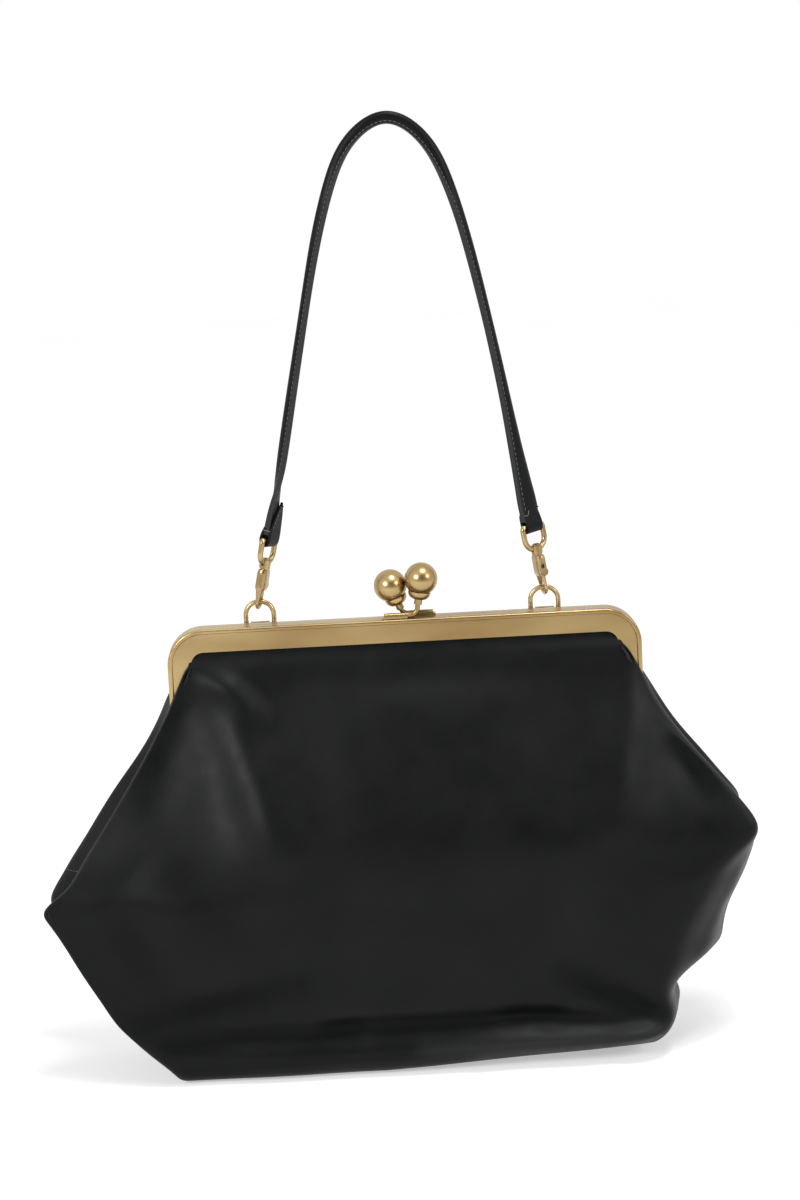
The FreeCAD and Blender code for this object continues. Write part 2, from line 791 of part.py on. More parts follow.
def strap():
    """The folded strap over the hand or hook, between its two flat ends."""
    body = new_body("strap")
    path = new_sketch(body, "XZ_Plane", "path", -size("ring_setback"))
    corners = [(strap_starts["left"].x, strap_starts["left"].z, 0)]
    for name, radius in (("left_shoulder", "shoulder_round_share"), ("apex", "apex_round_share"),
                         ("right_shoulder", "shoulder_round_share"), ("right_leg", "leg_round_share")):
        corners.append((*route_point(name), size("ring_spacing") * size(radius)))
    corners.append((strap_starts["right"].x, strap_starts["right"].z, 0))
    add_route(path, corners)
    start = FreeCAD.Placement(strap_starts["left"], turn(Y_AXIS, leans["left"]))
    section = new_sketch(body, "XY_Plane", "section", placement=start)
    wide = size("strap_radial") / 2
    deep = size("strap_depth") / 2
    rectangle(section, -wide, -deep, wide, deep, size("strap_round"))
    sweep(body, section, path, "band")
    nodes.append(body)


def strap_end(side):
    """The strap's flat end, folded round the eye's bar."""
    body = new_body(f"{side}_strap_end")
    half = size("strap_end_width") / 2
    thick = size("strap_end_depth") / 2
    low = new_sketch(body, "XY_Plane", "low", size("strap_loop") / 4)
    rectangle(low, -thick, -half, thick, half, size("strap_round"))
    eye_turn = size(f"{side}_eye_turn").value
    untwist = FreeCAD.Placement(V(0, 0, 0), turn(Z_AXIS, eye_turn - 90))
    high = new_sketch(body, "XY_Plane", "high", size("strap_end_length"), untwist)
    wide = size("strap_radial") / 2
    deep = size("strap_depth") / 2
    rectangle(high, -deep, -wide, deep, wide, size("strap_round"))
    loft(body, [low, high], "flat")
    loop = new_sketch(body, "XZ_Plane", "loop", -half)
    add_circle(loop, 0, 0, size("strap_loop") / 2)
    pad(body, loop, size("strap_end_width"), "loop_pad")
    bore = new_sketch(body, "XZ_Plane", "bore", -half)
    add_circle(bore, 0, 0, size("eye_wire") / 2 + size("running_clearance"))
    pocket(body, bore, size("strap_end_width"), "bore_cut", True)
    lift = FreeCAD.Placement(V(0, 0, size("eye_bar").value), FreeCAD.Rotation())
    body.Placement = on_hook(side, -eye_turn) * lift
    nodes.append(body)


strap()
for side in SIDES:
    strap_end(side)


# Soft body: each panel is a ruled skin through thin sections, one per level

class Level:
    """The bag's outline at one height."""

    def __init__(self, z, half_width, half_depth, belly, tuck=0.0, lift=0.0, shift=0.0):
        self.z = z
        self.half_width = half_width
        self.half_depth = half_depth
        self.belly = belly
        self.tuck = tuck
        self.lift = lift
        self.shift = shift
        self.fold = math.atan2(half_depth, tuck)

    def raised(self, rise):
        """The same outline, lifted."""
        return Level(self.z + rise, self.half_width, self.half_depth, self.belly, self.tuck, self.lift,
                     self.shift)

    def corner(self, inset):
        """The fold between panel and side, this far inside the outer skin."""
        back = inset / math.tan(self.fold / 2) if self.tuck else 0.0
        return self.half_width - back, self.half_depth - inset

    def valley(self, inset):
        """How far out the tucked side's inner fold lies."""
        return self.half_width - self.tuck - inset / math.sin(self.fold)

    def face(self, inset, facing):
        """The panel's line from the left fold to the right fold."""
        x, y = self.corner(inset)
        flank = FLANK_START * x
        rise = self.lift * self.belly * (1 - FLANK_START ** 2)
        outline = [(-x, y), (-flank, y + rise), (0, y + self.belly), (flank, y + rise), (x, y)]
        spots = [V(self.shift + across, facing * out, self.z) for across, out in outline]
        middle = Part.LineSegment(spots[1], spots[3])
        if self.belly:
            middle = Part.Arc(spots[1], spots[2], spots[3])
        return [Part.LineSegment(spots[0], spots[1]).toShape(), middle.toShape(),
                Part.LineSegment(spots[3], spots[4]).toShape()]

    def side(self, inset, sign):
        """The tucked side's line from the front fold to the rear fold."""
        x, y = self.corner(inset)
        fold = self.shift + sign * x
        return [V(fold, -y, self.z), V(self.shift + sign * self.valley(inset), 0, self.z), V(fold, y, self.z)]


def line(start, end):
    return Part.LineSegment(start, end).toShape()


def joined(edges):
    return Part.Wire(Part.__sortEdges__(edges))


def panel_section(level, facing, outside, inside):
    outer = level.face(outside, facing)
    inner = level.face(inside, facing)
    caps = []
    for end in (0, -1):
        caps.append(line(outer[end].Vertexes[end].Point, inner[end].Vertexes[end].Point))
    return joined(outer + [caps[1]] + inner + [caps[0]])


def side_section(level, sign, outside, inside):
    corners = level.side(outside, sign) + level.side(inside, sign)[::-1]
    return Part.makePolygon(corners + corners[:1])


def bag_section(level, inset):
    left = level.side(inset, -1)
    right = level.side(inset, 1)
    edges = level.face(inset, -1) + level.face(inset, 1)
    for corners in (left, right):
        edges += [line(corners[0], corners[1]), line(corners[1], corners[2])]
    return joined(edges)


def skin(sections):
    return Part.makeLoft(sections, True, True)


def soft_node(label, shape):
    node = doc.addObject("Part::Feature", label)
    node.Label = label
    node.Shape = shape
    node.Placement = FreeCAD.Placement()
    nodes.append(node)


leather = size("leather").value
in_channel = (back_of_frame - size("metal") - size("channel_play")).value
mouth_z = (hinge_z - size("mouth_below")).value


def frame_level(z, name):
    return Level(z, (half_width - size(f"{name}_inset")).value, in_channel, size(f"{name}_belly").value)


def body_level(name):
    return Level(mouth_z * size(f"{name}_share").value, (half_width + size(f"{name}_spread")).value,
                 size(f"{name}_half_depth").value, size(f"{name}_belly").value,
                 size(f"{name}_tuck").value, 1.0, size(f"{name}_shift").value)


in_frame = [frame_level((frame_top - size(f"{name}_drop")).value, name) for name in FRAME_LEVELS]
in_body = [body_level(name) for name in BODY_LEVELS]
base = in_body.pop()
in_frame.append(Level(hinge_z.value, in_frame[-1].half_width, in_channel, size("hinge_belly").value))
in_body.append(base.raised(leather))


def panel(levels_used, facing):
    return skin([panel_section(level, facing, 0.0, leather) for level in levels_used])


def side_panel(levels_used, sign):
    return skin([side_section(level, sign, 0.0, leather) for level in levels_used])


soft_node("front_panel_upper", panel(in_frame, -1))
soft_node("front_panel_fold", panel([in_frame[-1], in_body[0]], -1))
soft_node("front_panel_lower", panel(in_body, -1))
soft_node("rear_panel", panel(in_frame + in_body, 1))
for side, sign in SIDES.items():
    soft_node(f"{side}_gusset", side_panel(in_body[:4], sign))

floor = Part.Face(bag_section(base, 0.0)).extrude(V(0, 0, leather))
strips = [side_panel(in_body[3:], sign) for sign in SIDES.values()]
soft_node("base_panel", floor.fuse(strips).removeSplitter())

skin_gap = leather + size("lining_gap").value
lining_inside = skin_gap + size("lining").value
outer_levels = in_body[:-1] + [base.raised(skin_gap)]
inner_levels = in_body[:-1] + [base.raised(lining_inside)]
lining_outer = skin([bag_section(level, skin_gap) for level in outer_levels])
lining_hollow = skin([bag_section(level, lining_inside) for level in inner_levels])
soft_node("lining", lining_outer.cut(lining_hollow))


# Checks, then one file for each piece

doc.recompute()
for item in doc.Objects:
    if "Invalid" in item.State or "Error" in item.State:
        raise SystemExit(f"{item.Name} did not build: {item.State}")
os.makedirs("parts", exist_ok=True)
for node in nodes:
    shape = node.Shape
    if shape.isNull() or not shape.isValid() or len(shape.Solids) != 1:
        raise SystemExit(f"{node.Label}: null {shape.isNull()}, solids {len(shape.Solids)}")
    shape.exportStep(f"parts/{node.Label}.step")
    print(f"{node.Label:22s} {shape.Volume / 1000:8.3f} cm3")
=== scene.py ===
# %% [markdown]
# A leather purse on a brass frame.
# The metal of this purse is ready as CAD solids, and they stay where they are. This file
# dresses them: it gives the metal its satin finish, and it models the leather, the lining,
# the strap and the thread as soft things, which the solids only stand in for. The metal could
# be drawn again here, but then it might no longer agree with its joints.

import math

import bpy
import numpy as np
from mathutils import Matrix, Vector


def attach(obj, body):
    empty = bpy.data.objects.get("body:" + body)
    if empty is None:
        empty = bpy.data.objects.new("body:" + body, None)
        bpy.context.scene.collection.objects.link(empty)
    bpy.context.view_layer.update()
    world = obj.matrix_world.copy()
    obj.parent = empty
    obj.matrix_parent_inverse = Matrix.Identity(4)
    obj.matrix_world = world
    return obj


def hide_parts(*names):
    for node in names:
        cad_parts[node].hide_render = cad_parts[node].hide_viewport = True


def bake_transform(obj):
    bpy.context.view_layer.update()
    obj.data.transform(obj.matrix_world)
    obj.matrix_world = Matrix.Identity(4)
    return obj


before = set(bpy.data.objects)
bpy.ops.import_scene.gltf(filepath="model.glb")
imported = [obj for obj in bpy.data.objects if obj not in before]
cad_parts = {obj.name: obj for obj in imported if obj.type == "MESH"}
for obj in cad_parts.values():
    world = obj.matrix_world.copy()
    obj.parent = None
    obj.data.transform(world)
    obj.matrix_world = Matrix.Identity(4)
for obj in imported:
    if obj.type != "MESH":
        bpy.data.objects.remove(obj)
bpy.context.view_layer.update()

# %% [markdown]
# The camera.
# The purse is seen from a little above and a little to its left, and the picture leans by
# about three degrees, because the purse hangs slightly askew. A camera can be aimed with a
# constraint, but a lean is easier to give as a matrix: its columns are the picture's right,
# its up, and the direction back to the lens.

# %% Camera
VIEW_AZIMUTH, VIEW_ELEVATION, VIEW_LEAN = (math.radians(a) for a in (-1.5, 10.0, 2.75))
VIEW_DISTANCE = 1.4
VIEW_CENTRE = Vector((-0.00124, 0.0, 0.24917))
LENS_MM = 79.78


def put(name, data):
    """A new object in the scene, with its data."""
    thing = bpy.data.objects.new(name, data)
    bpy.context.scene.collection.objects.link(thing)
    return thing


level = math.cos(VIEW_ELEVATION)
back = Vector((math.sin(VIEW_AZIMUTH) * level, -math.cos(VIEW_AZIMUTH) * level,
               math.sin(VIEW_ELEVATION)))
right = Vector((math.cos(VIEW_AZIMUTH), math.sin(VIEW_AZIMUTH), 0.0))
up = back.cross(right)
right, up = (right * math.cos(VIEW_LEAN) - up * math.sin(VIEW_LEAN),
             right * math.sin(VIEW_LEAN) + up * math.cos(VIEW_LEAN))
camera = put("camera", bpy.data.cameras.new("camera"))
camera.data.lens = LENS_MM
camera.matrix_world = Matrix.Translation(VIEW_CENTRE + back * VIEW_DISTANCE) @ Matrix(
    (right, up, back)).transposed().to_4x4()
bpy.context.scene.camera = camera
print("camera at", [round(x, 3) for x in camera.matrix_world.translation])

# %% [markdown]
# Finishes.
# Each finish is a small node tree on the Principled shader. All of them read Object
# coordinates, which are metres on the purse itself, so a scale of 900 gives a grain of about
# a millimetre. A tree can be drawn by hand in the shader editor, but a helper that adds the
# nodes and joins their sockets by name keeps each finish to a few lines.

# %% Node helpers
MM = 0.001
# Places of the colours among a mix node's sockets, which share their names.
MIX_UNDER, MIX_OVER, MIX_RESULT = 6, 7, 2


class Finish:
    """A material under construction: its tree, its shader and its object coordinates."""

    def __init__(self, name, **sockets):
        self.material = bpy.data.materials.new(name)
        self.material.use_nodes = True
        self.tree = self.material.node_tree
        self.shader = self.tree.nodes["Principled BSDF"]
        self.fill(self.shader, sockets)
        self.place = self.add("TexCoord").outputs["Object"]

    def fill(self, node, sockets):
        """Values for a node's sockets, in whose names an underscore stands for a space."""
        for socket, value in sockets.items():
            node.inputs[socket.replace("_", " ")].default_value = value

    def add(self, kind, **sockets):
        """A new node with values in some of its sockets."""
        node = self.tree.nodes.new("ShaderNode" + kind)
        self.fill(node, sockets)
        return node

    def join(self, start, end):
        """A link from an output to an input."""
        self.tree.links.new(start, end)

    def stretched(self, scale):
        """Object coordinates with a scale of their own along each axis."""
        node = self.add("Mapping", Scale=scale)
        self.join(self.place, node.inputs["Vector"])
        return node.outputs["Vector"]

    def noise(self, scale, detail, place=None):
        """Soft noise between nought and one."""
        node = self.add("TexNoise", Scale=scale, Detail=detail)
        self.join(place or self.place, node.inputs["Vector"])
        return node.outputs["Fac"]

    def cells(self, scale):
        """Distance to the edge between pebbles."""
        node = self.add("TexVoronoi", Scale=scale)
        node.feature = "DISTANCE_TO_EDGE"
        self.join(self.place, node.inputs["Vector"])
        return node.outputs["Distance"]

    def ramp(self, factor, low, high, start=0.3, end=0.7):
        """A number that goes from low to high as the factor goes from start to end."""
        node = self.add("MapRange", From_Min=start, From_Max=end, To_Min=low, To_Max=high)
        self.join(factor, node.inputs["Value"])
        return node.outputs["Result"]

    def colours(self, factor, *stops):
        """A colour ramp with two (place, colour) stops, joined to the shader's colour."""
        node = self.add("ValToRGB")
        for element, (place, colour) in zip(node.color_ramp.elements, stops):
            element.position = place
            element.color = (*colour, 1)
        self.join(factor, node.inputs["Fac"])
        self.join(node.outputs["Color"], self.shader.inputs["Base Color"])

    def share(self, attribute):
        """A number that the piece keeps for each of its points, or nought if it keeps none."""
        node = self.add("Attribute")
        node.attribute_name = attribute
        return node.outputs["Fac"]

    def paint_rub_and_highlight(self, attribute, colour):
        """Mix a paler colour in where the piece's own attribute says so: rubbed, or a painted
        highlight.
        """
        mix = self.add("Mix")
        mix.data_type = "RGBA"
        under = self.shader.inputs["Base Color"].links[0].from_socket
        self.join(self.share(attribute), mix.inputs["Factor"])
        self.join(under, mix.inputs[MIX_UNDER])
        mix.inputs[MIX_OVER].default_value = (*colour, 1)
        self.join(mix.outputs[MIX_RESULT], self.shader.inputs["Base Color"])

    def rough(self, factor, low, high):
        """Roughness spread from low to high."""
        self.join(self.ramp(factor, low, high), self.shader.inputs["Roughness"])

    def bump(self, *layers):
        """Bumps one over the other, each (height, strength, depth in millimetres)."""
        normal = None
        for height, strength, depth in layers:
            node = self.add("Bump", Strength=strength, Distance=depth * MM)
            self.join(height, node.inputs["Height"])
            if normal is not None:
                self.join(normal, node.inputs["Normal"])
            normal = node.outputs["Normal"]
        self.join(normal, self.shader.inputs["Normal"])


print("a finish can use:", ", ".join(name for name in vars(Finish) if name[0] != "_"))

# %% [markdown]
# Smooth calf leather.
# The hide is dyed nearly black and waxed a little, so it is dull with broad soft lights.
# The grain is a fine pebble over slow changes of tone where the hide was softer. A scanned
# texture would repeat, so noise and cells make the grain. Two shares that the pieces keep for
# their points tell where the wax is missing and where the dye turns a paler grey: rubbing on the
# strap's lip, rubbing and a painted highlight on the outer folds, and a painted highlight along
# the base roll. The strap is the same hide, pressed tighter.

# %% Leather
WAXED_SHINE, DULL_SHINE = 0.13, 0.06
DYE_DEEP, DYE_PALE = (0.0032, 0.0035, 0.0038), (0.0060, 0.0063, 0.0068)
# Paler grey mixed in by the share of fold: rubbing on the strap's lip, rubbing and a painted
# highlight on the outer folds, and a painted highlight along the base roll.
RUB_AND_HIGHLIGHT_GREY = (0.040, 0.041, 0.043)


def leather(name, pebble, roughness):
    """Leather whose shine falls with the share of hollow, whose dye turns a paler grey with the
    share of fold, which is rubbing and in places a painted highlight, and whose bumps are slow
    waves, then pebbles of a given scale, then pores."""
    finish = Finish(name)
    shine = finish.ramp(finish.share("hollow"), WAXED_SHINE, DULL_SHINE, 0.0, 1.0)
    finish.join(shine, finish.shader.inputs["Specular IOR Level"])
    finish.colours(finish.noise(22, 4), (0.3, DYE_DEEP), (0.75, DYE_PALE))
    # Paler grey by the share of fold: partly rubbing, partly a painted highlight on the folds and
    # the base roll.
    finish.paint_rub_and_highlight("fold", RUB_AND_HIGHLIGHT_GREY)
    finish.rough(finish.noise(60, 3), roughness - 0.05, roughness + 0.06)
    finish.bump((finish.noise(14, 2), 0.2, 1.2), (finish.cells(pebble), 0.22, 0.2),
                (finish.noise(3200, 2), 0.2, 0.05))
    return finish.material


body_leather = leather("body_leather", 850, 0.40)
strap_leather = leather("strap_leather", 1100, 0.38)
print("leathers:", body_leather.name, strap_leather.name)

# %% [markdown]
# Satin brass.
# The frame, the lock and the hooks are brass plated a soft antique gold and brushed, so a
# light smears on them along the brushing. An anisotropic shader could do that too, but it
# needs a direction on every face. A noise that is stretched along the frame gives the brushed
# lines instead, and a slow one lets the gold turn browner in places, which is partly tarnish
# and partly a painted reflection of darker surroundings.

# %% Brass


def brass(name, tone, brushing, deep, bright, low, high):
    """Brass with a slow change of tone between two colours, and brushing that sets its
    roughness between low and high."""
    finish = Finish(name, Metallic=1.0)
    brushed = finish.noise(1, 4, finish.stretched(brushing))
    # Slow browner patches: partly tarnish, partly a painted reflection of darker surroundings.
    finish.colours(finish.noise(1, 2, finish.stretched(tone)), (0.36, deep), (0.62, bright))
    finish.rough(brushed, low, high)
    finish.bump((brushed, 0.008, 0.02))
    return finish.material


frame_brass = brass(
    "frame_brass", tone=(11, 30, 30), brushing=(60, 4000, 4000),
    deep=(0.30, 0.20, 0.085), bright=(0.46, 0.335, 0.16), low=0.28, high=0.32)
lock_brass = brass(
    "lock_brass", tone=(60, 60, 60), brushing=(300, 300, 300),
    deep=(0.34, 0.235, 0.102), bright=(0.44, 0.315, 0.15), low=0.25, high=0.31)
hook_brass = brass(
    "hook_brass", tone=(70, 70, 70), brushing=(300, 300, 300),
    deep=(0.34, 0.24, 0.115), bright=(0.48, 0.36, 0.19), low=0.24, high=0.32)
print("brasses:", frame_brass.name, lock_brass.name, hook_brass.name)

# %% [markdown]
# Small finishes.
# The lining is a dense dark twill, the wedge that holds the leather in the frame is twisted
# paper, the gate springs are steel wire and the thread is a grey waxed polyester. They could
# have real strands, but these would be too fine to see, so a stretched noise gives them.

# %% Lining, paper, spring and thread


def stranded(name, scale, detail, dark, pale, **sockets):
    """A finish that goes from dark to pale across its strands, and the noise of the strands."""
    finish = Finish(name, **sockets)
    strands = finish.noise(1, detail, finish.stretched(scale))
    finish.colours(strands, dark, pale)
    return finish, strands


lining_cloth, twill = stranded(
    "lining_cloth", (900, 900, 2600), 2, (0.35, (0.018, 0.018, 0.020)),
    (0.65, (0.034, 0.034, 0.037)), Roughness=0.85, Specular_IOR_Level=0.2)
lining_cloth.bump((twill, 0.4, 0.15))
paper_cord, plies = stranded(
    "paper_cord", (1500, 1500, 1500), 2, (0.3, (0.30, 0.23, 0.15)),
    (0.7, (0.46, 0.37, 0.25)), Roughness=0.9)
paper_cord.bump((plies, 0.5, 0.2))
spring_steel, drawn = stranded(
    "spring_steel", (200, 200, 3000), 1, (0.3, (0.32, 0.32, 0.33)),
    (0.7, (0.60, 0.60, 0.61)), Metallic=1.0)
spring_steel.rough(drawn, 0.22, 0.38)
thread, twist = stranded(
    "waxed_thread", (2600, 2600, 2600), 1, (0.3, (0.07, 0.07, 0.075)),
    (0.7, (0.14, 0.14, 0.15)), Roughness=0.6)
thread.bump((twist, 0.4, 0.1))
small_finishes = (lining_cloth, paper_cord, spring_steel, thread)
print("small finishes:", ", ".join(finish.material.name for finish in small_finishes))

# %% [markdown]
# Dressing the solids.
# The metal solids have the right shape already, so all they need is a finish in their material
# slot. It could be picked for each of them by hand, but their names say what they are made of.
# The solids of soft pieces are hidden later, so theirs doesn't matter.

# %% Dress the CAD metal
# The first word that is in a solid's name decides, and all other metal is like the hooks.
FINISH_BY_WORD = (("frame_cord", paper_cord.material), ("spring", spring_steel.material),
                  ("lock", lock_brass), ("hinge", frame_brass), ("frame", frame_brass))
for name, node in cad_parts.items():
    fitting = [finish for word, finish in FINISH_BY_WORD if word in name] + [hook_brass]
    node.data.materials.clear()
    node.data.materials.append(fitting[0])
print("dressed", len(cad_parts), "solids")

# %% [markdown]
# The leather bag.
# A purse on a hinged frame has two halves, which are wedged into the frame's two channels.
# Here each half is one sheet. It starts in its channel, spreads over the frame's arms, widens
# to the wing tips, narrows to the base and turns under it. At the sides it turns inward to a
# fold, where it meets the other half: above the hinge the two part when the purse opens.
# The sheet is a B-spline surface over a net of points, one row for each level of the bag.
# Sculpting would do too, but a net keeps the folds where they were measured.

# %% Levels of the bag
# For each level: height, how far the side is closed, the side's inner fold left and right,
# then for the front and for the rear: fold left, fold right, depth at the folds, belly.
BAG_LEVELS = np.array([
    (233, 0, -113, 113, -107, 107, 4.3, 0, -107, 107, 4.3, 0),
    (228, 0, -113, 113, -108.5, 108.5, 4.3, 0, -107.5, 107.5, 4.3, 0),
    (223.5, 0.02, -113.4, 113.6, -111.5, 112, 5.6, 0, -109, 109.3, 5, 0),
    (219, 0.08, -114.6, 115.6, -116.2, 117.4, 8.6, -0.8, -115, 116, 8.2, -0.8),
    (211, 0.18, -118.3, 119.3, -119.7, 121.8, 9.4, 0.8, -121.3, 122, 9.2, 0.8),
    (203, 1, -124.3, 124.5, -123.8, 126, 10, 5, -127.5, 127, 10, 5),
    (194, 1, -126.5, 126.5, -128.6, 130.6, 11.5, 9, -131, 132.6, 11.5, 9),
    (174, 1, -130, 131, -140.5, 143.6, 16.5, 13, -142.2, 143.9, 16.5, 13),
    (154, 1, -136, 140, -153.9, 160.8, 22, 15, -158, 160.8, 22, 15),
    (139, 1, -142, 150, -164.2, 173, 27, 15, -168.2, 171.5, 27, 15),
    (126, 1, -148, 168, -174, 183, 31.5, 13, -176.4, 183, 31.5, 13),
    (118, 1, -151, 181, -178.5, 181.5, 33.5, 12, -182, 178, 33.5, 12),
    (110, 1, -154, 184, -184.5, 175, 35, 11, -188, 172, 35, 11),
    (101, 1, -157, 180.5, -199, 169, 37, 9, -193.5, 166, 37, 9),
    (94, 1, -158, 178, -194, 166, 37.5, 8.5, -198.5, 162, 37.5, 8.5),
    (84, 1, -157, 173, -188, 160.5, 38, 8, -204, 156, 38, 8),
    (74, 1, -152, 167.5, -183, 155, 38.5, 7.5, -194, 151, 38.5, 7.5),
    (62, 1, -146, 164.5, -177, 150, 38.5, 6.5, -180, 146, 38.5, 6.5),
    (52, 1, -141, 164, -171.2, 145, 38.4, 5, -171, 141, 38.4, 4.5),
    (43, 1, -138, 146, -166.4, 135, 38.6, 4, -165, 134, 38.5, 3.5),
    (36, 1, -136, 137, -162.2, 131, 38.4, 3, -160, 132, 38.4, 2.5),
    (29, 1, -133, 140, -156.6, 132.5, 37.6, 2, -155, 133, 37.6, 1.5),
    (19, 1, -126, 141, -147.4, 134, 38.8, 1.5, -144, 133, 38.8, 1.5),
    (8.5, 1, -120, 134, -135.4, 130, 37.5, 1.5, -133, 129, 37.5, 1.5),
    (0.6, 1, -118, 126, -131.5, 123, 31, 1, -128, 122, 31, 1),
])
# How round the outer folds are at some heights: front left, front right, rear.
FOLD_ROUNDS = np.array([
    (0, 3, 3, 5), (19, 4, 5, 5), (36, 2, 5, 3), (45, 2, 9, 3), (60, 1.5, 14, 4),
    (100, 0.5, 13, 2), (112, 0.5, 8, 2), (122, 0.5, 3, 1), (150, 0.5, 2, 1), (165, 0.5, 4.5, 1),
    (190, 0.5, 4, 1), (203, 0.5, 1.5, 0.5), (217, 0, 0, 0), (240, 0, 0, 0)])
print("levels of the bag:", len(BAG_LEVELS))

# %% [markdown]
# The net of one half.
# A pattern cutter would draw each half flat and fold it at the sides. Here the folded half is
# laid out at once: four net points turn round each side fold, and eight cross the panel. Under
# the base the rows close towards the line where both halves are sewn together.

# %% Net of a half
PANEL_SHARES = np.array([-0.94, -0.78, -0.5, -0.17, 0.17, 0.5, 0.78, 0.94])
NET_SPANS = len(PANEL_SHARES) + 7
BELLY_GAIN = 1.1
BASE_SHARES = np.array([0.66, 0.33, 0.0])
BASE_HEIGHT = 0.4
SEAM_STEP, SEAM_END = 0.6, 3


def half_net(facing):
    """Net of one half: for each level from the left inner fold round the left outer fold,
    across the panel and round the right outer fold to the right inner fold. Across the panel
    the depth is the folds' depth plus 1.1 times the belly times the square of one less the
    squared share of half the width, so it is flat near the folds. Rows under the base then
    run from the outline to the middle line, which joins the inner folds."""
    height, closed, valley_left, valley_right = BAG_LEVELS[:, :4].T
    left, right, depth, belly = (BAG_LEVELS[:, 4:8] if facing < 0 else BAG_LEVELS[:, 8:]).T
    heights, *rounds = FOLD_ROUNDS.T
    round_left = np.interp(height, heights, rounds[0] if facing < 0 else rounds[2])
    round_right = np.interp(height, heights, rounds[1] if facing < 0 else rounds[2])
    middle = (left + round_left + right - round_right) / 2
    half = (right - round_right - left - round_left) / 2
    panel_x = middle[:, None] + half[:, None] * PANEL_SHARES
    panel_y = depth[:, None] + BELLY_GAIN * belly[:, None] * (1 - PANEL_SHARES ** 2) ** 2
    side = depth * (1 - closed)
    x = np.column_stack([valley_left, (valley_left + left) / 2, left, left + round_left, panel_x,
                         right - round_right, right, (valley_right + right) / 2, valley_right])
    y = np.column_stack([side, (side + depth) / 2, depth - round_left, depth, panel_y,
                         depth, depth - round_right, (side + depth) / 2, side])
    net = np.stack([x, facing * y, np.broadcast_to(height[:, None], x.shape)], axis=-1)
    first, last, step = valley_left[-1], valley_right[-1], SEAM_STEP * np.arange(1, 5)
    across = np.linspace(first + SEAM_END, last - SEAM_END, len(PANEL_SHARES))
    seam_x = np.concatenate([first + step, across, last - step[::-1]])
    seam_line = np.column_stack([seam_x, np.zeros((len(seam_x), 2))])
    share = BASE_SHARES[:, None, None]
    under = share * net[-1] + (1 - share) * seam_line
    under[:, :, 2] = BASE_HEIGHT
    return np.concatenate([net, under])


print("net of a half:", half_net(-1).shape[:2])

# %% [markdown]
# Pulls and creases.
# The frame's corners pull the hide into long soft ridges, and above the base it sags into
# creases. A bump in the finish could fake them, but then the outline and the broad lights
# would stay straight, so each one is a line on the panel that lifts or sinks the surface.
# Each line is given by its two ends (x, z), its width and its height in millimetres.

# %% Pulls and creases
FRONT_RIDGES = [
    ((-108, 226), (-76, 192), 7, 2.2), ((-100, 221), (-73, 126), 14, 4.8),
    ((-120, 205), (-136, 150), 12, -1.8), ((-54, 205), (-46, 140), 16, -1.2),
    ((10, 205), (14, 110), 26, -1.0), ((118, 204), (106, 132), 15, 4.4),
    ((140, 168), (156, 140), 9, -2.4), ((66, 170), (66, 108), 22, 0.8),
    ((-30, 176), (-26, 112), 22, 0.8), ((-140, 110), (-102, 72), 15, 2.6),
    ((-158, 98), (-136, 56), 10, -1.8), ((-156, 37), (-62, 57), 8.5, -4.0),
    ((-136, 27), (-36, 26), 7.5, -3.6), ((-48, 27.5), (68, 28), 8, -4.4),
    ((46, 28), (118, 20), 7.5, -3.8), ((72, 55), (134, 20), 7.5, -4.4),
    ((-90, 13), (40, 13), 8, 1.8), ((28, 13), (130, 12), 7, 3.6),
    ((106, 12), (138, 12.5), 6.5, 4.2), ((-60, 76), (60, 72), 18, 1.2),
]
REAR_RIDGES = [
    ((-107, 219), (-128, 146), 11, 2.6), ((-88, 212), (-106, 150), 13, -2.2),
    ((106, 219), (126, 146), 11, 2.6), ((88, 212), (104, 150), 13, -2.2),
    ((-20, 205), (-14, 120), 22, -1.4), ((-145, 31), (128, 29), 5.5, -3.4),
    ((60, 150), (62, 104), 22, 1.3), ((-70, 120), (-50, 70), 18, 1.2),
]


def ridge(x, z, start, end, width, height):
    """A soft ridge or, with a negative height, a valley along a line on the panel: the height
    times e to the minus square of the distance over the width, times a sine along the line
    that comes to nothing a fifth of the line's length past its ends."""
    start, end = np.array(start, float), np.array(end, float)
    along = end - start
    t = ((x - start[0]) * along[0] + (z - start[1]) * along[1]) / (along @ along)
    near = np.clip(t, 0, 1)
    off = (x - start[0] - near * along[0]) ** 2 + (z - start[1] - near * along[1]) ** 2
    fade = np.sin(np.pi * np.clip(0.15 + 0.7 * t, 0, 1)) ** 0.8
    return height * np.exp(-off / width ** 2) * fade


def slack(x, z):
    """Slow unevenness of soft hide: a product of two slanted sines plus a third one. Along x
    and z their wavelengths are 80 to 300 millimetres."""
    waves = 0.55 * np.sin(x / 19 + z / 33) * np.sin(z / 23 - x / 47)
    return waves + 0.35 * np.sin(x / 13 - z / 21 + 1.0)


print("ridges and valleys:", len(FRONT_RIDGES), "in front and", len(REAR_RIDGES), "behind")

# %% [markdown]
# Smooth lines over a few places.
# Hide and straps bend smoothly, but only a few places on them were measured. A B-spline
# blends those places into a line or a sheet. Blender has spline objects of its own, but as
# plain weights the same blend works for lines and for sheets.

# %% Spline weights


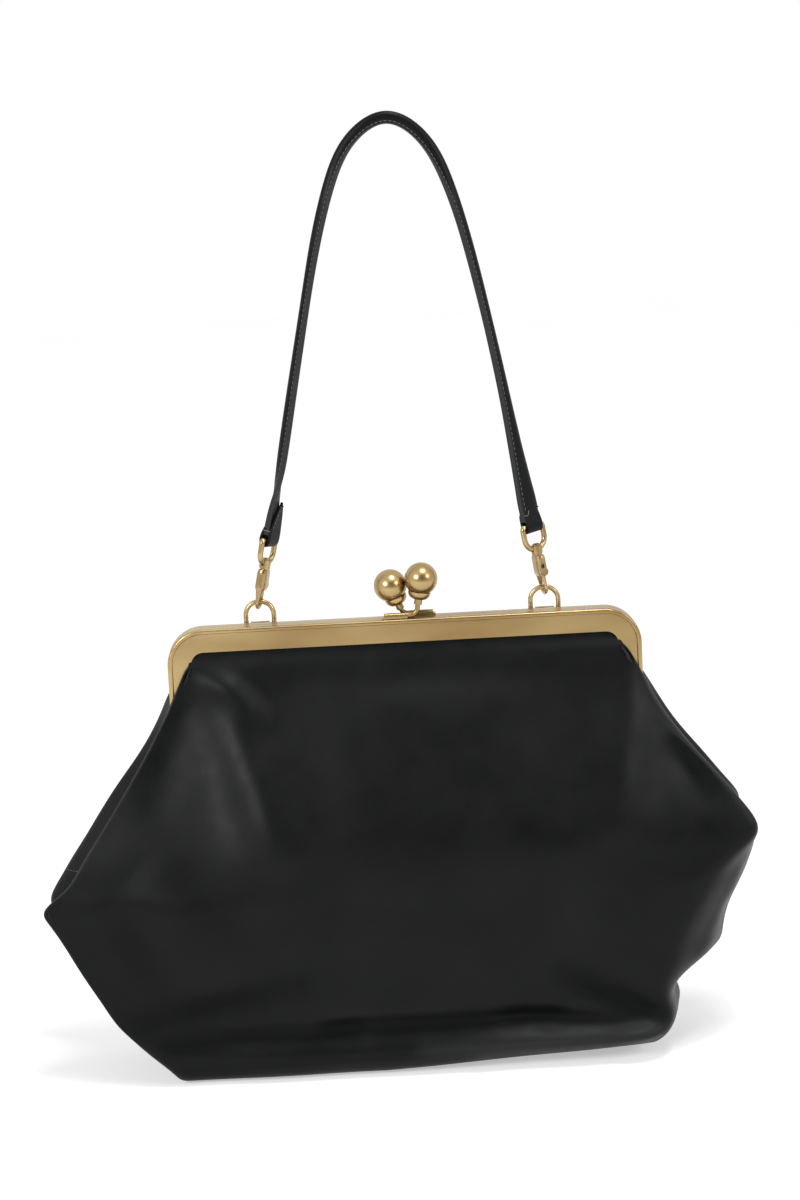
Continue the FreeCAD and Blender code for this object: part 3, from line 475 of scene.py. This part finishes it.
def spline_weights(count, samples):
    """How much of each of count net points goes into each sample of a uniform cubic B-spline.
    A mirrored point beyond each end makes the curve start and end on the net."""
    spot = np.linspace(0, count - 1, samples)
    span = np.minimum(spot.astype(int), count - 2)
    f = spot - span
    shares = ((1 - f) ** 3, 3 * f ** 3 - 6 * f ** 2 + 4,
              1 + 3 * f + 3 * f ** 2 - 3 * f ** 3, f ** 3)
    padded = np.zeros((samples, count + 2))
    for step, share in enumerate(shares):
        padded[np.arange(samples), span + step] = share / 6
    weights = padded[:, 1:-1].copy()
    weights[:, :2] += padded[:, :1] * (2, -1)
    weights[:, -2:] += padded[:, -1:] * (-1, 2)
    return weights


print("the weights of each sample add up to", spline_weights(5, 9).sum(axis=1).round(6).max())

# %% [markdown]
# The surface of the hide.
# The net is sampled finely enough for the creases, and the creases are added only on the
# panel, because the side folds have to stay sharp. The real base isn't level: its right end
# is drawn up a little. It could be in the net, but as one slope it is easier to correct.

# %% Leather surface
BAG_ROWS, BAG_COLUMNS = 150, 190
BASE_RISE, RISE_START, RISE_RUN, RISE_TOP = 7.0, -20, 140, 32


def half_surface(facing, ridges):
    """Points of one half of the bag: the B-spline of its net, with the pulls and creases added
    on the panel and faded out before the side folds. The base rises to its right end in
    proportion to the distance, and less the higher a point is."""
    net = half_net(facing)
    rows = spline_weights(net.shape[0], BAG_ROWS)
    columns = spline_weights(net.shape[1], BAG_COLUMNS)
    points = np.einsum("ri,cj,ijk->rck", rows, columns, net)
    on_panel = np.zeros(net.shape[:2])
    on_panel[4:-3, 4:-4] = 1
    mask = rows @ on_panel @ columns.T
    x, z = points[..., 0], points[..., 2]
    lift = slack(x, z) + sum(ridge(x, z, *line) for line in ridges)
    points[..., 1] += facing * lift * mask
    rise = BASE_RISE * np.clip((x - RISE_START) / RISE_RUN, 0, 1)
    points[..., 2] += rise * np.clip(1 - z / RISE_TOP, 0, 1)
    return points if facing < 0 else points[:, ::-1]


def normals(points):
    """Outward unit normals of a surface: down the rows crossed with along the columns."""
    across = np.cross(np.gradient(points, axis=0), np.gradient(points, axis=1))
    return across / np.maximum(np.linalg.norm(across, axis=-1, keepdims=True), 1e-9)


front_half = half_surface(-1, FRONT_RIDGES)
rear_half = half_surface(1, REAR_RIDGES)
print("front spans", np.round(np.ptp(front_half.reshape(-1, 3), axis=0)), "mm")

# %% [markdown]
# Wear and painted highlights.
# Wax doesn't reach the bottom of a crease and wears off the base, so both are dull. The outer
# folds are painted a paler grey, which is partly rubbing and partly a painted highlight along
# their edges, and the roll at the base gets a paler grey line that is a painted highlight. Wear
# could be painted on an image, but the creases and folds are known as lines and columns, so a
# number for each point is worked out from them, and the leather's finish reads it.

# %% Wear and painted highlights
FULL_HOLLOW = 4.5
DULL_BASE, DULL_FADE = 14, 8
FOLD_COLUMN = 2.5 * (BAG_COLUMNS - 1) / NET_SPANS
# How wide the paler grey along the outer folds runs and where it fades: it is partly rubbing and
# partly a painted highlight.
RUB_COLUMNS, RUB_FADE = 3.5, 30
RUB_TOP, RUB_TOP_FADE = 212, 15
# A paler grey line along the crest of the base roll: a painted highlight.
ROLL_HIGHLIGHTS = [((0, 14.5), (165, 19), 5, 0.5)]


def give_share(piece, name, share):
    """Keep a share for each point of a piece, for its finish to read."""
    kept = piece.data.attributes.new(name, "FLOAT", "POINT")
    kept.data.foreach_set("value", share.ravel().astype(np.float32))


def hollows(piece, points, ridges):
    """Give a half the share of hollow at each point: the sum of its valleys, where a depth of
    4.5 millimetres counts as one, and of a strip that fades out 14 millimetres up the base."""
    x, z = points[..., 0], points[..., 2]
    share = sum(ridge(x, z, *line[:3], -line[3] / FULL_HOLLOW) for line in ridges if line[3] < 0)
    share = share + np.clip((DULL_BASE - z) / DULL_FADE, 0, 1)
    give_share(piece, "hollow", np.clip(share, 0, 1))


def rubs_and_painted_highlights(piece, points, lows, highlight_lines=()):
    """Give a half the share of paler grey at each point, which is partly rubbing and partly a
    painted highlight: e to the minus square of the distance from an outer fold over 3.5, counted
    in columns, between a low height and the frame's arms. Highlight lines on the panel, given as
    ridges are, add a painted highlight."""
    columns = np.arange(points.shape[1])
    x, z = points[..., 0], points[..., 2]
    share = sum(np.exp(-((places - FOLD_COLUMN) / RUB_COLUMNS) ** 2)
                * np.clip((z - low) / RUB_FADE, 0, 1)
                for places, low in zip((columns, columns[::-1]), lows))
    share = share * np.clip((RUB_TOP - z) / RUB_TOP_FADE, 0, 1)
    share = share + sum(ridge(x, z, *line) for line in highlight_lines)
    # The share is named fold; it is the paler grey of rubbing and of painted highlights.
    give_share(piece, "fold", np.clip(share, 0, 1))


print("outer folds lie", round(FOLD_COLUMN, 1), "columns from the inner ones")

# %% [markdown]
# Turning numbers into meshes.
# Every soft piece below is a surface: a block of points in rows and columns. One helper
# numbers the four corners of each face of such a block, and one puts the points into a mesh.
# The lengths are written in millimetres, as a maker would, and become metres here.

# %% Mesh helpers


def grid_faces(rows, columns, joined=False):
    """Corner numbers of the faces between neighbouring rows and columns of a block of points.
    With joined, the last column also meets the first one."""
    number = np.arange(rows * columns).reshape(rows, columns)
    if joined:
        number = np.column_stack([number, number[:, :1]])
    corners = (number[:-1, :-1], number[1:, :-1], number[1:, 1:], number[:-1, 1:])
    return np.stack(corners, axis=-1).reshape(-1, 4)


def mesh_object(name, points, faces, material):
    """A mesh object at the origin, from points in metres."""
    mesh = bpy.data.meshes.new(name)
    mesh.from_pydata(points.reshape(-1, 3).tolist(), [], faces.tolist())
    mesh.materials.append(material)
    return put(name, mesh)


def new_piece(name, points, faces, material):
    """A smooth piece of the purse, from points in millimetres."""
    piece = mesh_object(name, points * MM, faces, material)
    piece.data.shade_smooth()
    print(f"{name}: {len(piece.data.vertices)} points, {len(piece.data.polygons)} faces")
    return piece


print("a block of 3 by 4 points has", len(grid_faces(3, 4)), "faces")

# %% [markdown]
# Front and rear leather.
# The front half has to follow the front frame when the purse opens, while its lower part stays
# with the bag, and cutting it at the hinge would tear it there. Here it isn't blended between the
# two bodies: it is left unattached, where it was built. The rear half stays with the rear frame.
# A wall gives the hide its thickness at the rim.

# %% Front and rear leather
LEATHER_WALL = 1.3
half_faces = grid_faces(BAG_ROWS, BAG_COLUMNS)


def give_wall(piece, thickness):
    """Thickness in millimetres, added on the inner side of a sheet."""
    wall = piece.modifiers.new("wall", "SOLIDIFY")
    wall.thickness = thickness * MM
    wall.offset = -1


def half_leather(name, half, ridges, lows, highlight_lines=()):
    """The leather of a half, with its wear, its painted highlights and its wall."""
    piece = new_piece(name, half, half_faces, body_leather)
    rubs_and_painted_highlights(piece, half, lows, highlight_lines)
    hollows(piece, half, ridges)
    give_wall(piece, LEATHER_WALL)
    return piece


# The front half also gets the painted highlight along its base roll.
front_leather = half_leather("front_leather", front_half, FRONT_RIDGES, (40, 112), ROLL_HIGHLIGHTS)
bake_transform(front_leather)
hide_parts("front_panel_upper", "front_panel_fold", "front_panel_lower")

rear_leather = half_leather("rear_leather", rear_half, REAR_RIDGES, (40, 40))
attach(rear_leather, "bag")
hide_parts("rear_panel", "left_gusset", "right_gusset", "base_panel")

# %% [markdown]
# The lining.
# Inside hangs a cloth bag of the same shape, a little smaller. A scaled copy would cut through
# the leather at the folds, so the leather's own points are moved inward along their normals.
# It shows only when the frame is open.

# %% Lining
LINING_INSET, LINING_LIFT, LINING_LOW = 2.6, 2.0, 8.5


def lining(name, half):
    """The lining of a half: its points less their normals times the inset. Near the base each
    point also stays a lift above the leather, as the normals turn about where the base folds."""
    points = half - LINING_INSET * normals(half)
    low = half[..., 2] < LINING_LOW
    points[low, 2] = np.maximum(points[low, 2], half[low, 2] + LINING_LIFT)
    return new_piece(name, points, half_faces[:, ::-1], lining_cloth.material)


front_lining = lining("front_lining", front_half)
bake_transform(front_lining)
rear_lining = lining("rear_lining", rear_half)
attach(rear_lining, "bag")
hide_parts("lining")

# %% [markdown]
# The strap's path.
# A strip of hide is folded lengthwise, and its two edges are sewn together, so it has a round
# outer side and a flat inner lip with a row of stitches. It is a profile carried along a
# path. The path is a B-spline over the places that the strap passes on its way from one
# hook over the top to the other. A simulation could hang it, but its shape was measured.

# %% Strap path
STRAP_Y = 9.0
STRAP_ROUTE = np.array([
    (-68.4, 283.4), (-65.6, 296.4), (-61.4, 315.1), (-53.4, 356), (-44.8, 397.4), (-36.6, 437.4),
    (-27.4, 469), (-17.7, 489.7), (3.7, 504.4), (24.1, 489), (34.2, 466.5), (42.3, 438),
    (50.5, 399.6), (58.1, 359.3), (63.8, 323.9), (67.6, 302.3), (70.6, 283.8)])
STRAP_RINGS = 420


def path_frames(route, samples):
    """Points on the B-spline of the route, with the outward normal and the forward direction
    of each in the strap's plane, and the distance travelled so far."""
    spots = spline_weights(len(route), samples) @ route
    ahead = np.gradient(spots, axis=0)
    ahead /= np.linalg.norm(ahead, axis=1, keepdims=True)
    steps = np.linalg.norm(np.diff(spots, axis=0), axis=1)
    centre = np.column_stack([spots[:, 0], np.full(samples, STRAP_Y), spots[:, 1]])
    outward = np.column_stack([-ahead[:, 1], np.zeros(samples), ahead[:, 0]])
    forward = np.column_stack([ahead[:, 0], np.zeros(samples), ahead[:, 1]])
    return centre, outward, forward, np.concatenate([[0], np.cumsum(steps)])


centre, outward, forward, travelled = path_frames(STRAP_ROUTE, STRAP_RINGS)
strap_length = travelled[-1]
print("strap length between the hooks' bars:", round(strap_length), "mm")

# %% [markdown]
# The strap's band.
# The profile turns as it goes down, because the hooks hold the strap sideways, and near each
# hook it opens out flat. A curve with a bevel object could carry the profile, but it can't
# change its width and its thickness apart, so each ring of points is laid out here. The cut
# edge of the lip isn't dyed as deeply, so it counts as rubbed.

# %% Strap band
# How the strap changes with the distance from its left bar: turn in degrees, width, thickness.
STRAP_CHANGES = np.array([
    (0, 120, 1.45, 1.3), (8, 120, 1.45, 1), (18, 115, 1.35, 0.9), (40, 60, 1.05, 0.95),
    (60, 52, 0.95, 1), (130, 58, 0.85, 1), (200, 25, 0.95, 1), (232, 4, 1, 1),
    (262, 8, 1, 1), (300, 45, 0.9, 1), (360, 56, 0.92, 1),
    (strap_length - 70, 48, 1, 1), (strap_length - 45, 42, 1.3, 1),
    (strap_length - 24, 37, 1.62, 0.9), (strap_length - 10, 35, 1.9, 0.9),
    (strap_length, 35, 1.45, 1.3)])
STRAP_PROFILE = np.array([
    (-3.05, 0), (-3.3, -0.25), (-3.3, -1.2), (-3.1, -1.5), (-2.3, -1.55), (-1.9, -1.42),
    (-1.5, -1.6), (0, -1.95), (1.4, -2), (2.6, -1.5), (3.2, -0.7), (3.3, 0), (3.2, 0.7),
    (2.6, 1.5), (1.4, 2), (0, 1.95), (-1.5, 1.6), (-1.9, 1.42), (-2.3, 1.55), (-3.1, 1.5),
    (-3.3, 1.2), (-3.3, 0.25)])
LIP_EDGE, LIP_RUB = -3.0, 0.8
BAR_ROOM = 2.8
SOFTENED = 31


def strap_axes():
    """Directions of the strap's width and thickness at each ring, times their share: the
    outward normal and the depth axis, turned about the path. The changes are averaged over
    31 rings with weights that rise and fall as a cosine does."""
    changes = (np.interp(travelled, STRAP_CHANGES[:, 0], c) for c in STRAP_CHANGES[:, 1:].T)
    soft = np.hanning(SOFTENED) / np.hanning(SOFTENED).sum()
    turn, wide, thick = (
        np.convolve(np.pad(change, SOFTENED // 2, mode="edge"), soft, mode="valid")
        for change in changes)
    turn = np.radians(turn)[:, None]
    depth = np.array([0.0, 1.0, 0.0])
    across = np.cos(turn) * outward + np.sin(turn) * depth
    through = np.cos(turn) * depth - np.sin(turn) * outward
    return across * wide[:, None], through * thick[:, None]


across, through = strap_axes()
band = (centre[:, None] + across[:, None] * STRAP_PROFILE[:, :1]
        + through[:, None] * STRAP_PROFILE[:, 1:])
band = band[(travelled > BAR_ROOM) & (travelled < strap_length - BAR_ROOM)]
band_faces = grid_faces(*band.shape[:2], joined=True)
strap_band = new_piece("strap_band", band, band_faces, strap_leather)
on_lip = LIP_RUB * (STRAP_PROFILE[:, 0] < LIP_EDGE)
give_share(strap_band, "fold", np.broadcast_to(on_lip, band.shape[:2]))
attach(strap_band, "strap")
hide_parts("strap")

# %% [markdown]
# Stitches.
# A stitch is a short grain of thread that dips into the hide at both ends. It could be an
# instance of one small mesh, but instances don't all survive an export, so each seam is one
# mesh: a six sided grain of four rings, repeated at each place.

# %% Stitch maker
GRAIN_ENDS = np.array([-1.0, -0.6, 0.6, 1.0])
GRAIN_SIDES, GRAIN_BLUNT = 6, 1.15


def unit(v):
    """Vectors divided by their lengths."""
    return v / np.linalg.norm(v, axis=-1, keepdims=True)


def sampled(values, travel, spots):
    """Vectors along a line, read off at some distances travelled."""
    return np.column_stack([np.interp(spots, travel, v) for v in values.T])


def stitches(name, places, along, out, grain, body):
    """Grains of thread at the places: along is each grain's direction, out the way it stands
    from the hide and grain its length and thickness. A ring's size is half the thickness
    times the root of 1.15 less the square of its place, which leaves the ends blunt."""
    length, thickness = grain
    round_ = np.arange(GRAIN_SIDES) * 2 * np.pi / GRAIN_SIDES
    size = thickness / 2 * np.sqrt(GRAIN_BLUNT - GRAIN_ENDS ** 2)
    side = np.cross(along, out)
    lengthwise = along[:, None, None] * (GRAIN_ENDS * length / 2)[None, :, None, None]
    crosswise = (side[:, None, None] * np.cos(round_)[None, None, :, None]
                 + out[:, None, None] * np.sin(round_)[None, None, :, None])
    rings = places[:, None, None] + lengthwise + crosswise * size[None, :, None, None]
    one = grid_faces(len(GRAIN_ENDS), GRAIN_SIDES, joined=True)
    first = len(GRAIN_ENDS) * GRAIN_SIDES * np.arange(len(places))
    faces = (one[None] + first[:, None, None]).reshape(-1, 4)
    piece = new_piece(name, rings, faces, thread.material)
    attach(piece, body)
    return piece


print("a stitch has", len(GRAIN_ENDS) * GRAIN_SIDES, "points")

# %% [markdown]
# Strap stitches.
# The machine sews through both layers of the lip, so each stitch shows on both of its faces.
# Walking along the path in even steps gives the places, and the strap's own directions at
# each place turn the stitches with it.

# %% Strap stitches
STITCH_PITCH, STITCH_START, STITCH_STOP = 2.7, 22, 8
STITCH_LIP, STITCH_FACE = -1.9, 1.5
STRAP_GRAIN = (1.9, 0.42)
spots = np.arange(STITCH_START, strap_length - STITCH_STOP, STITCH_PITCH)
at_centre, at_across, at_through, at_forward = (
    sampled(values, travelled, spots) for values in (centre, across, through, forward))
for label, face in (("front", -1), ("rear", 1)):
    places = at_centre + at_across * STITCH_LIP + at_through * face * STITCH_FACE
    stitches(f"strap_stitches_{label}", places, unit(at_forward), unit(at_through) * face,
             STRAP_GRAIN, "strap")

# %% [markdown]
# Side seams.
# The base of the bag turns up at each side and meets the gusset in a cross seam, level with
# the wing tips. Its stitches follow a row of the leather's own points from fold to fold, so
# they stay on the hide however the net is changed.

# %% Side seams
SEAM_HEIGHT = {"left": 104.0, "right": 132.0}
SEAM_PITCH, SEAM_STAND = 2.4, 0.1
SEAM_GRAIN = (1.5, 0.45)


def seam(name, points, first, last, height):
    """Stitches at even distances along part of a row of a half, from a first to a last column.
    The row is the one that comes nearest to the height at the column by the outer fold."""
    row = np.argmin(abs(points[:, last if first == 0 else first, 2] - height))
    line, out = points[row, first:last + 1], normals(points)[row, first:last + 1]
    travel = np.concatenate([[0], np.cumsum(np.linalg.norm(np.diff(line, axis=0), axis=1))])
    spots = np.arange(SEAM_PITCH, travel[-1] - SEAM_PITCH, SEAM_PITCH)
    place, face = (sampled(values, travel, spots) for values in (line, out))
    along = unit(np.gradient(place, axis=0))
    return stitches(name, place + SEAM_STAND * face, along, unit(face), SEAM_GRAIN, "bag")


SIDE_END = int(2.3 * (BAG_COLUMNS - 1) / NET_SPANS)
near, far = (0, SIDE_END), (BAG_COLUMNS - 1 - SIDE_END, BAG_COLUMNS - 1)
for part, half, left, right in (("front", front_half, near, far), ("rear", rear_half, far, near)):
    seam(f"left_{part}_seam", half, *left, SEAM_HEIGHT["left"])
    seam(f"right_{part}_seam", half, *right, SEAM_HEIGHT["right"])

# %% [markdown]
# Strap ends.
# At each hook the strip passes round the eye's bar and comes back on itself as a pointed
# tongue, which is sewn down. The band could go on round the bar, but it is folded double and
# the end is flat, so each end is a ribbon of its own: its line goes down one side of the
# strap, round the bar and up the other side, and its width runs along the bar.

# %% Strap ends
RING_TOP = {"left": (-75.5, 9.0, 250.7), "right": (75.5, 9.0, 250.7)}
PULL_LEAN = {"left": math.radians(12.17), "right": math.radians(-8.45)}
EYE_TURN = {"left": math.radians(30), "right": math.radians(55)}
BAR_HEIGHT = 33.5
# The ribbon's line: distance from the bar towards the tongue's side, and along the pull.
WRAP_LINE = np.array([
    (-1.4, 7), (-2.6, 4), (-3.3, 0.4), (-2.7, -2.8), (0, -4.2), (2.7, -2.8), (3.5, 0.4),
    (3.4, 5), (3.2, 10), (3.0, 15), (2.9, 20.5)])
WRAP_ROWS, WRAP_COLUMNS = 80, 17
TONGUE_START, TONGUE_TIP = 5.5, 20.5
WRAP_HALF, WRAP_WALL = 4.9, 1.4
TONGUE_CUT, TIP_ROUND, TIP_DROP = 7.6, 1.4, 1.6


def eye_axes(side):
    """The bar's direction, the pull's direction and the way the end's flat side faces."""
    lean, turn = PULL_LEAN[side], EYE_TURN[side]
    pull = np.array([math.sin(lean), 0, math.cos(lean)])
    level = np.array([math.cos(lean), 0, -math.sin(lean)])
    bar = math.cos(turn) * np.array([0, 1.0, 0]) + math.sin(turn) * level
    return bar, pull, np.cross(bar, pull)


def on_eye(side, along_bar, outward, up_pull):
    """Points given by their distances along the bar, out of the flat side and up the pull."""
    bar, pull, face = eye_axes(side)
    eye = np.array(RING_TOP[side]) + BAR_HEIGHT * pull
    parts = ((along_bar, bar), (outward, face), (up_pull, pull))
    return eye + sum(np.asarray(amount, float)[..., None] * axis for amount, axis in parts)


def wrap_points(side, tongue):
    """Points of one end: the wrap line's B-spline, with the width laid along the bar. Past the
    tongue's start its near edge moves across to the far edge, which leaves a rounded point:
    the move follows the share of the tongue's length, the far edge rounds with the share's
    fourth power and the near corner drops with its sixth."""
    line = spline_weights(len(WRAP_LINE), WRAP_ROWS) @ WRAP_LINE
    rising = np.arange(WRAP_ROWS) > WRAP_ROWS / 2
    cut = np.clip((line[:, 1] - TONGUE_START) / (TONGUE_TIP - TONGUE_START), 0, 1) * rising
    near = -WRAP_HALF + TONGUE_CUT * cut
    far = WRAP_HALF - TIP_ROUND * cut ** 4
    share = np.linspace(0, 1, WRAP_COLUMNS)
    width = near[:, None] + (far - near)[:, None] * share
    rise = line[:, 1:] - TIP_DROP * (1 - share) * (cut ** 6)[:, None]
    return on_eye(side, width, tongue * line[:, :1] + 0 * width, rise)


for side, tongue in (("left", 1), ("right", -1)):
    faces = grid_faces(WRAP_ROWS, WRAP_COLUMNS)
    end = new_piece(f"{side}_strap_wrap", wrap_points(side, tongue),
                    faces if tongue < 0 else faces[:, ::-1], strap_leather)
    give_wall(end, WRAP_WALL)
    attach(end, "strap")
    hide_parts(f"{side}_strap_end")

# %% [markdown]
# Strap end stitches.
# The left tongue is sewn down along its slanted edge, and a few long tacks close the ends by
# the bars. There are only ten of them, so each is placed by its distances from the bar.

# %% Strap end stitches
left_bar, left_pull, left_face = eye_axes("left")
right_bar, right_pull, right_face = eye_axes("right")
TONGUE_STITCHES, TONGUE_ACROSS, TONGUE_UP = 6, 5.6, 10.0
TONGUE_GRAIN, LEFT_TACK, RIGHT_TACK = (1.7, 0.5), (4.6, 0.8), (2.6, 0.7)
rise = np.linspace(0, 1, TONGUE_STITCHES)
diagonal = on_eye("left", -3.0 + TONGUE_ACROSS * rise, 3.25 - 0.35 * rise, 7.5 + TONGUE_UP * rise)
slope = unit(np.tile(TONGUE_ACROSS * left_bar + TONGUE_UP * left_pull, (TONGUE_STITCHES, 1)))
stitches("left_tongue_stitches", diagonal, slope, np.tile(left_face, (TONGUE_STITCHES, 1)),
         TONGUE_GRAIN, "strap")

tack = on_eye("left", [-5.1], [0.6], [5.2])
stitches("left_end_tack", tack, left_face[None], -left_bar[None], LEFT_TACK, "strap")

tacks = on_eye("right", [-4.2, -2.3, 5.3], [1.9, 1.9, 0.6], [6.2, 7.4, 9.0])
tack_along = np.stack([right_bar, unit(right_pull + 0.3 * right_bar), right_face])
tack_out = np.stack([right_face, right_face, right_bar])
stitches("right_end_tacks", tacks, tack_along, tack_out, RIGHT_TACK, "strap")

# %% [markdown]
# Gate springs.
# Behind the sprung bolt of each hook sits a coil of wire, which shortens when the bolt is
# pulled back. The solid is only a plain sleeve, so the coil takes its place and its size from
# the sleeve's points: a circle of wire carried along a screw line. The ends of its axis are found
# and their distance is printed, but the coil is left as built and doesn't follow the bolt.

# %% Gate springs
COIL_TURNS, COIL_WIRE = 5, 0.36
COIL_RINGS, COIL_SIDES = 160, 8


def coil_points(sleeve, axis):
    """Points of a coil inside a sleeve, with the ends of its axis: the place turns evenly as
    it climbs, and the wire's circle lies in the plane of the radius and the axis."""
    middle = sleeve.mean(axis=0)
    climb = (sleeve - middle) @ axis
    spread = np.linalg.norm(sleeve - middle - climb[:, None] * axis, axis=1)
    radius = spread.max() - COIL_WIRE / 2
    ends = middle + axis * climb.min(), middle + axis * climb.max()
    side = unit(np.cross(axis, [0.0, 1.0, 0.0]))
    share = np.linspace(0, 1, COIL_RINGS)[:, None]
    turn = 2 * np.pi * COIL_TURNS * share
    radial = np.cos(turn) * side + np.sin(turn) * np.cross(axis, side)
    climb = climb.min() + COIL_WIRE / 2 + share * (np.ptp(climb) - COIL_WIRE)
    line = middle + radius * radial + climb * axis
    round_ = np.arange(COIL_SIDES)[None, :, None] * 2 * np.pi / COIL_SIDES
    wire = np.cos(round_) * radial[:, None] + np.sin(round_) * axis
    return line[:, None] + COIL_WIRE / 2 * wire, ends


coil_faces = grid_faces(COIL_RINGS, COIL_SIDES, joined=True)[:, ::-1]
for side in ("left", "right"):
    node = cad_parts[f"{side}_gate_spring"]
    sleeve = np.empty(3 * len(node.data.vertices))
    node.data.vertices.foreach_get("co", sleeve)
    points, (low, high) = coil_points(sleeve.reshape(-1, 3) / MM, eye_axes(side)[1])
    coil = new_piece(f"{side}_gate_coil", points, coil_faces, spring_steel.material)
    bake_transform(coil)
    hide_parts(f"{side}_gate_spring")
    print(f"{side} coil is {np.linalg.norm(high - low):.2f} mm long")

# %% [markdown]
# The floor.
# The purse stands on a plain pale floor that fades into a white background. More lamps would
# make it white too, but they would wash out the leather, so the floor glows a little where it
# is looked at straight, or in the metal. The glow is weaker near the purse, which keeps its
# shadow.

# %% Floor
FLOOR_HALF = 6
GLOW_NEAR, GLOW_FAR = 0.44, 0.66
GLOW_START, GLOW_END = 0.3, 1.8


def combined(tree, operation, first, second):
    """A number that a math node works out from two others."""
    node = tree.nodes.new("ShaderNodeMath")
    node.operation = operation
    tree.links.new(first, node.inputs[0])
    tree.links.new(second, node.inputs[1])
    return node.outputs[0]


def seen_directly(tree):
    """A number that is one where the camera, a reflection or glass looks straight at a
    surface: the largest of what the light path says of the three."""
    path = tree.nodes.new("ShaderNodeLightPath")
    seen = combined(tree, "MAXIMUM", path.outputs["Is Camera Ray"], path.outputs["Is Glossy Ray"])
    return combined(tree, "MAXIMUM", seen, path.outputs["Is Transmission Ray"])


pale_floor = Finish("pale_floor", Roughness=0.9, Specular_IOR_Level=0.0,
                    Emission_Color=(1, 1, 1, 1))
pale_floor.colours(pale_floor.noise(3, 2), (0.3, (0.90, 0.90, 0.90)), (0.7, (0.93, 0.93, 0.93)))
from_middle = pale_floor.add("VectorMath")
from_middle.operation = "LENGTH"
pale_floor.join(pale_floor.place, from_middle.inputs[0])
by_distance = pale_floor.ramp(from_middle.outputs["Value"], GLOW_NEAR, GLOW_FAR,
                              GLOW_START, GLOW_END)
glow = combined(pale_floor.tree, "MULTIPLY", seen_directly(pale_floor.tree), by_distance)
pale_floor.join(glow, pale_floor.shader.inputs["Emission Strength"])
corners = FLOOR_HALF * np.array([(-1, -1, 0), (1, -1, 0), (1, 1, 0), (-1, 1, 0)])
floor = mesh_object("floor", corners, np.array([(0, 1, 2, 3)]), pale_floor.material)
print("floor is", 2 * FLOOR_HALF, "m wide")

# %% [markdown]
# The grey card.
# A studio has a dark screen or a card behind the camera, which keeps the front of black hide
# dark and gives the brass something to mirror. Here it is a curved strip that only reflections
# see, so it neither shows in the picture nor takes light from the floor.

# %% Grey card
CARD_RADIUS, CARD_LOW, CARD_HIGH = 2.3, 0.02, 2.0
CARD_SPREAD, CARD_STEPS = 48, 25
around = np.radians(np.linspace(-CARD_SPREAD, CARD_SPREAD, CARD_STEPS))
card_line = np.stack([CARD_RADIUS * np.sin(around), -CARD_RADIUS * np.cos(around)], axis=-1)
card_points = np.stack([np.column_stack([card_line, np.full(CARD_STEPS, z)])
                        for z in (CARD_LOW, CARD_HIGH)])
card_finish = Finish("grey_card", Roughness=0.9, Specular_IOR_Level=0.0)
card_finish.colours(card_finish.noise(4, 2), (0.3, (0.52, 0.52, 0.52)), (0.7, (0.57, 0.57, 0.57)))
card = mesh_object("grey_card", card_points, grid_faces(2, CARD_STEPS), card_finish.material)
card.visible_camera = card.visible_diffuse = card.visible_shadow = False
print("card stands", CARD_RADIUS, "m away")

# %% [markdown]
# The world.
# The background is white where it is seen, in the picture or in the metal, and gentler where
# it lights the purse. A white screen behind the purse would do that in one view only.

# %% World
WORLD_LIGHT = 0.36
world = bpy.data.worlds.new("studio")
bpy.context.scene.world = world
world.use_nodes = True
tree = world.node_tree
light = tree.nodes["Background"]
light.inputs["Strength"].default_value = WORLD_LIGHT
seen = tree.nodes.new("ShaderNodeBackground")
for node in (light, seen):
    node.inputs["Color"].default_value = (1, 1, 1, 1)
mix = tree.nodes.new("ShaderNodeMixShader")
tree.links.new(seen_directly(tree), mix.inputs[0])
tree.links.new(light.outputs[0], mix.inputs[1])
tree.links.new(seen.outputs[0], mix.inputs[2])
tree.links.new(mix.outputs[0], tree.nodes["World Output"].inputs["Surface"])
print("world light:", WORLD_LIGHT)

# %% [markdown]
# The lamps.
# Black leather shows its shape by its highlights, and a highlight lies where the surface
# faces halfway between a lamp and the camera. One big lamp would veil the whole front, so
# three soft small ones are used: left, above and right.

# %% Lamps
# Name, then place, aim and size in metres, and power in watts.
LAMPS = (("key_lamp", (-1.0, -1.3, 0.9), (0, 0, 0.2), 0.5, 13),
         ("top_lamp", (0.3, -0.55, 1.6), (0, -0.05, 0.1), 0.45, 10),
         ("side_lamp", (1.2, -1.1, 0.95), (0, 0, 0.15), 0.5, 7))
for name, place, aim, size, power in LAMPS:
    lamp = put(name, bpy.data.lights.new(name, "AREA"))
    lamp.data.size = size
    lamp.data.energy = power
    lamp.location = place
    lamp.rotation_euler = (Vector(aim) - Vector(place)).to_track_quat("-Z", "Y").to_euler()
bpy.context.scene.view_settings.view_transform = "Standard"
print("lamps:", len(LAMPS))

# %% [markdown] The dressed purse has to stay as large as its solids.
